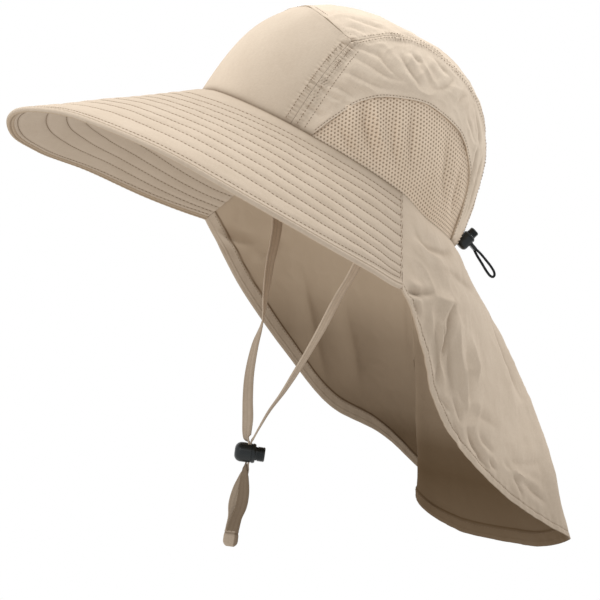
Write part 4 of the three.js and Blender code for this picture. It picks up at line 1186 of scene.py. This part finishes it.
def rear_cord():
    path = cord_path()
    run = unit(np.gradient(path, axis=0))
    side = np.zeros_like(path)
    side[0] = unit(np.cross(run[0], UP))
    for k in range(1, len(path)):
        side[k] = unit(side[k - 1] - run[k] * (side[k - 1] @ run[k]))
    high = np.cross(run, side)
    angle = np.linspace(0, 2 * np.pi, 20, endpoint=False)
    reach = np.r_[0, np.cumsum(np.linalg.norm(np.diff(path, axis=0), axis=-1))]
    lay, wind = 4 * angle[None], 5 * reach[:, None]
    braid = 0.05 * np.cos(lay + wind) * np.cos(lay - wind)
    size = (CORD_DIAMETER / 2 - 0.03 + braid)[..., None]
    points = (path[:, None] + side[:, None] * np.cos(angle)[None, :, None] * size
              + high[:, None] * np.sin(angle)[None, :, None] * size)
    piece = make("rear_elastic", points.reshape(-1, 3), loft_faces(len(path), 20), ["rear_cord"], "elastic",
                 finish=ELASTIC, sharp=80)


# Materials

def nodes_of(name, colour, rough, gloss=0.2):
    material = bpy.data.materials.new(name)
    material.use_nodes = True
    tree = material.node_tree
    shader = tree.nodes["Principled BSDF"]
    shader.inputs["Base Color"].default_value = (*colour, 1)
    shader.inputs["Roughness"].default_value = rough
    shader.inputs["Specular IOR Level"].default_value = gloss
    return material, tree, shader


def attribute(tree, name):
    node = tree.nodes.new("ShaderNodeAttribute")
    node.attribute_name = name
    return node


def math_node(tree, kind, *values):
    node = tree.nodes.new("ShaderNodeMath")
    node.operation = kind
    for k, value in enumerate(values):
        if isinstance(value, (int, float)):
            node.inputs[k].default_value = value
        else:
            tree.links.new(value, node.inputs[k])
    return node.outputs[0]


def grain(tree, vector, scale, detail=2.0):
    """A noise texture over a vector, stretched by a scale for each axis."""
    mapping = tree.nodes.new("ShaderNodeMapping")
    mapping.inputs["Scale"].default_value = scale
    tree.links.new(vector, mapping.inputs["Vector"])
    texture = tree.nodes.new("ShaderNodeTexNoise")
    texture.inputs["Scale"].default_value = 1
    texture.inputs["Detail"].default_value = detail
    tree.links.new(mapping.outputs[0], texture.inputs["Vector"])
    return texture.outputs[0]


def blend(tree, factor, a, b):
    node = tree.nodes.new("ShaderNodeMix")
    node.data_type = "RGBA"
    tree.links.new(factor, node.inputs["Factor"])
    for value, socket in ((a, node.inputs[6]), (b, node.inputs[7])):
        if isinstance(value, tuple):
            socket.default_value = (*value, 1)
        else:
            tree.links.new(value, socket)
    return node.outputs[2]


def relief(tree, shader, height, strength, distance):
    bump = tree.nodes.new("ShaderNodeBump")
    bump.inputs["Strength"].default_value = strength
    bump.inputs["Distance"].default_value = distance
    tree.links.new(height, bump.inputs["Height"])
    tree.links.new(bump.outputs[0], shader.inputs["Normal"])


def woven(name, light, dark, inside, line, rough=0.85, bump=0.25):
    """Plain woven cloth: crossed slubs, soft patches, another tone inside as painted shade, dark seam and
    crease lines as painted shade, and broad painted shade.
    """
    material, tree, shader = nodes_of(name, light, rough)
    spot = attribute(tree, "spot").outputs["Vector"]
    warp = grain(tree, spot, (2.4, 0.3, 1))
    weft = grain(tree, spot, (0.3, 2.4, 1))
    weave = math_node(tree, "ADD", warp, weft)
    patch = grain(tree, spot, (0.05, 0.05, 1))
    slubs = math_node(tree, "MULTIPLY", weave, 1.1)
    total = math_node(tree, "ADD", slubs, math_node(tree, "MULTIPLY", patch, 0.8))
    factor = math_node(tree, "SUBTRACT", total, 1.1)
    factor.node.use_clamp = True
    tone = blend(tree, factor, light, dark)
    # painted shade: the inside takes a darker tone of the same cloth
    tone = blend(tree, attribute(tree, "inside").outputs["Fac"], tone, inside)
    # painted shade: dark lines in seams, creases, grooves and pits
    shade = math_node(tree, "MINIMUM", attribute(tree, "shade").outputs["Fac"], 0.85)
    tone = blend(tree, shade, tone, line)
    # painted shade: broad darkening of deep folds and shaded parts, towards DEEP_SHADOW
    tone = blend(tree, attribute(tree, "gloom").outputs["Fac"], tone, DEEP_SHADOW)
    tree.links.new(tone, shader.inputs["Base Color"])
    relief(tree, shader, weave, bump, 0.0003)
    return material


def plain(name, colour, rough):
    return nodes_of(name, colour, rough)[0]


def lock_finish():
    material, tree, shader = nodes_of("lock", (0.0015, 0.005, 0.006), 0.28, 0.5)
    speck = tree.nodes.new("ShaderNodeTexNoise")
    speck.inputs["Scale"].default_value = 900
    relief(tree, shader, speck.outputs[0], 0.15, 0.0002)
    return material


# Light

def light():
    """A white room, darker below and on one side, with three soft lamps."""
    world = bpy.data.worlds.new("room")
    bpy.context.scene.world = world
    world.use_nodes = True
    tree = world.node_tree
    background = tree.nodes["Background"]
    way = tree.nodes.new("ShaderNodeTexCoord")
    parts = tree.nodes.new("ShaderNodeSeparateXYZ")
    ramp = tree.nodes.new("ShaderNodeValToRGB")
    tree.links.new(way.outputs["Generated"], parts.inputs[0])
    height = math_node(tree, "MULTIPLY_ADD", parts.outputs["Z"], 0.5, 0.5)
    tree.links.new(height, ramp.inputs[0])
    for end, (place, colour) in zip(ramp.color_ramp.elements, ((0.2, GROUND), (0.34, (1, 1, 1)))):
        end.position = place
        end.color = (*colour, 1)
    facing = tree.nodes.new("ShaderNodeVectorMath")
    facing.operation = "DOT_PRODUCT"
    facing.inputs[1].default_value = Vector(DARK_WAY).normalized()
    tree.links.new(way.outputs["Generated"], facing.inputs[0])
    wall = tree.nodes.new("ShaderNodeMapRange")
    wall.interpolation_type = "SMOOTHSTEP"
    for key, value in {"From Min": -0.05, "From Max": 0.55, "To Min": 1.0, "To Max": DARK_WALL}.items():
        wall.inputs[key].default_value = value
    tree.links.new(facing.outputs["Value"], wall.inputs["Value"])
    tree.links.new(ramp.outputs[0], background.inputs["Color"])
    tree.links.new(wall.outputs["Result"], background.inputs["Strength"])
    for name, way, size, power in LAMPS:
        lamp = bpy.data.lights.new(name, "AREA")
        lamp.shape = "DISK"
        lamp.size = size
        lamp.energy = power
        body = bpy.data.objects.new(name, lamp)
        way = Vector(way).normalized()
        body.location = way * LAMP_DISTANCE
        body.rotation_euler = way.to_track_quat("Z", "Y").to_euler()
        bpy.context.scene.collection.objects.link(body)
    bpy.context.scene.view_settings.view_transform = "Standard"


GROUND = (0.93, 0.91, 0.89)
# colour of the painted shade in the deepest folds and shaded parts
DEEP_SHADOW = (0.078, 0.043, 0.015)
# the room is dark towards this way, so that the lamps model the flap's folds
DARK_WAY = (0.75, 0.4, 0.53)
DARK_WALL = 0.74
LAMP_DISTANCE = 2.4
# name, way, size, power
LAMPS = [("high lamp", (-0.505, -0.279, 1.0), 1.6, 42), ("back lamp", (-0.1, 0.9, 0.6), 0.8, 28),
         ("front lamp", (0.5, -0.8, 0.7), 0.8, 4)]

# light and dark of the weave, inside tone as painted shade, seam and crease lines as painted shade
CLOTH = woven("cloth", (0.56, 0.465, 0.365), (0.48, 0.388, 0.295), (0.475, 0.37, 0.265),
              (0.17, 0.11, 0.062))
CROWN = woven("crown cloth", (0.68, 0.575, 0.458), (0.585, 0.48, 0.373), (0.47, 0.365, 0.262),
              (0.17, 0.11, 0.062))
NET = woven("net", (0.80, 0.655, 0.51), (0.66, 0.53, 0.40), (0.5, 0.375, 0.26), (0.30, 0.215, 0.14),
            bump=0.1)
TAPE = woven("tape", (0.69, 0.575, 0.45), (0.575, 0.465, 0.36), (0.3, 0.22, 0.15), (0.12, 0.08, 0.05))
# the threads are coloured darker than the cloth: painted shade of the sunken stitch holes
THREAD = plain("thread", (0.20, 0.135, 0.085), 0.8)
LOCK = lock_finish()
ELASTIC = plain("elastic", (0.014, 0.017, 0.02), 0.6)

rear = lock(REAR_LOCK, REAR_LOCK_AT, (REAR_AXIS, np.cross(REAR_RUN, REAR_AXIS), REAR_RUN), "rear_lock",
            "rear_button")
rear_cord()
lock(CHIN_LOCK, CHIN_LOCK_AT, (plan_way(LOCK_TURN), plan_way(LOCK_TURN + 90), UP), "chin_lock",
     "chin_button")
light()
front_panel()
top_panel()
for number, place in ((1, "left"), (-1, "right")):
    side_panel(number, f"side_{place}")
    net(number, place)
crown_stitching()
brim_cloth()
brim_stitching()
binding()
flap = neck_flap()
hem_thread = flap_stitching()
strap(1, LEFT_STRAP, "left")
strap(-1, RIGHT_STRAP, "right")
strap_tab()
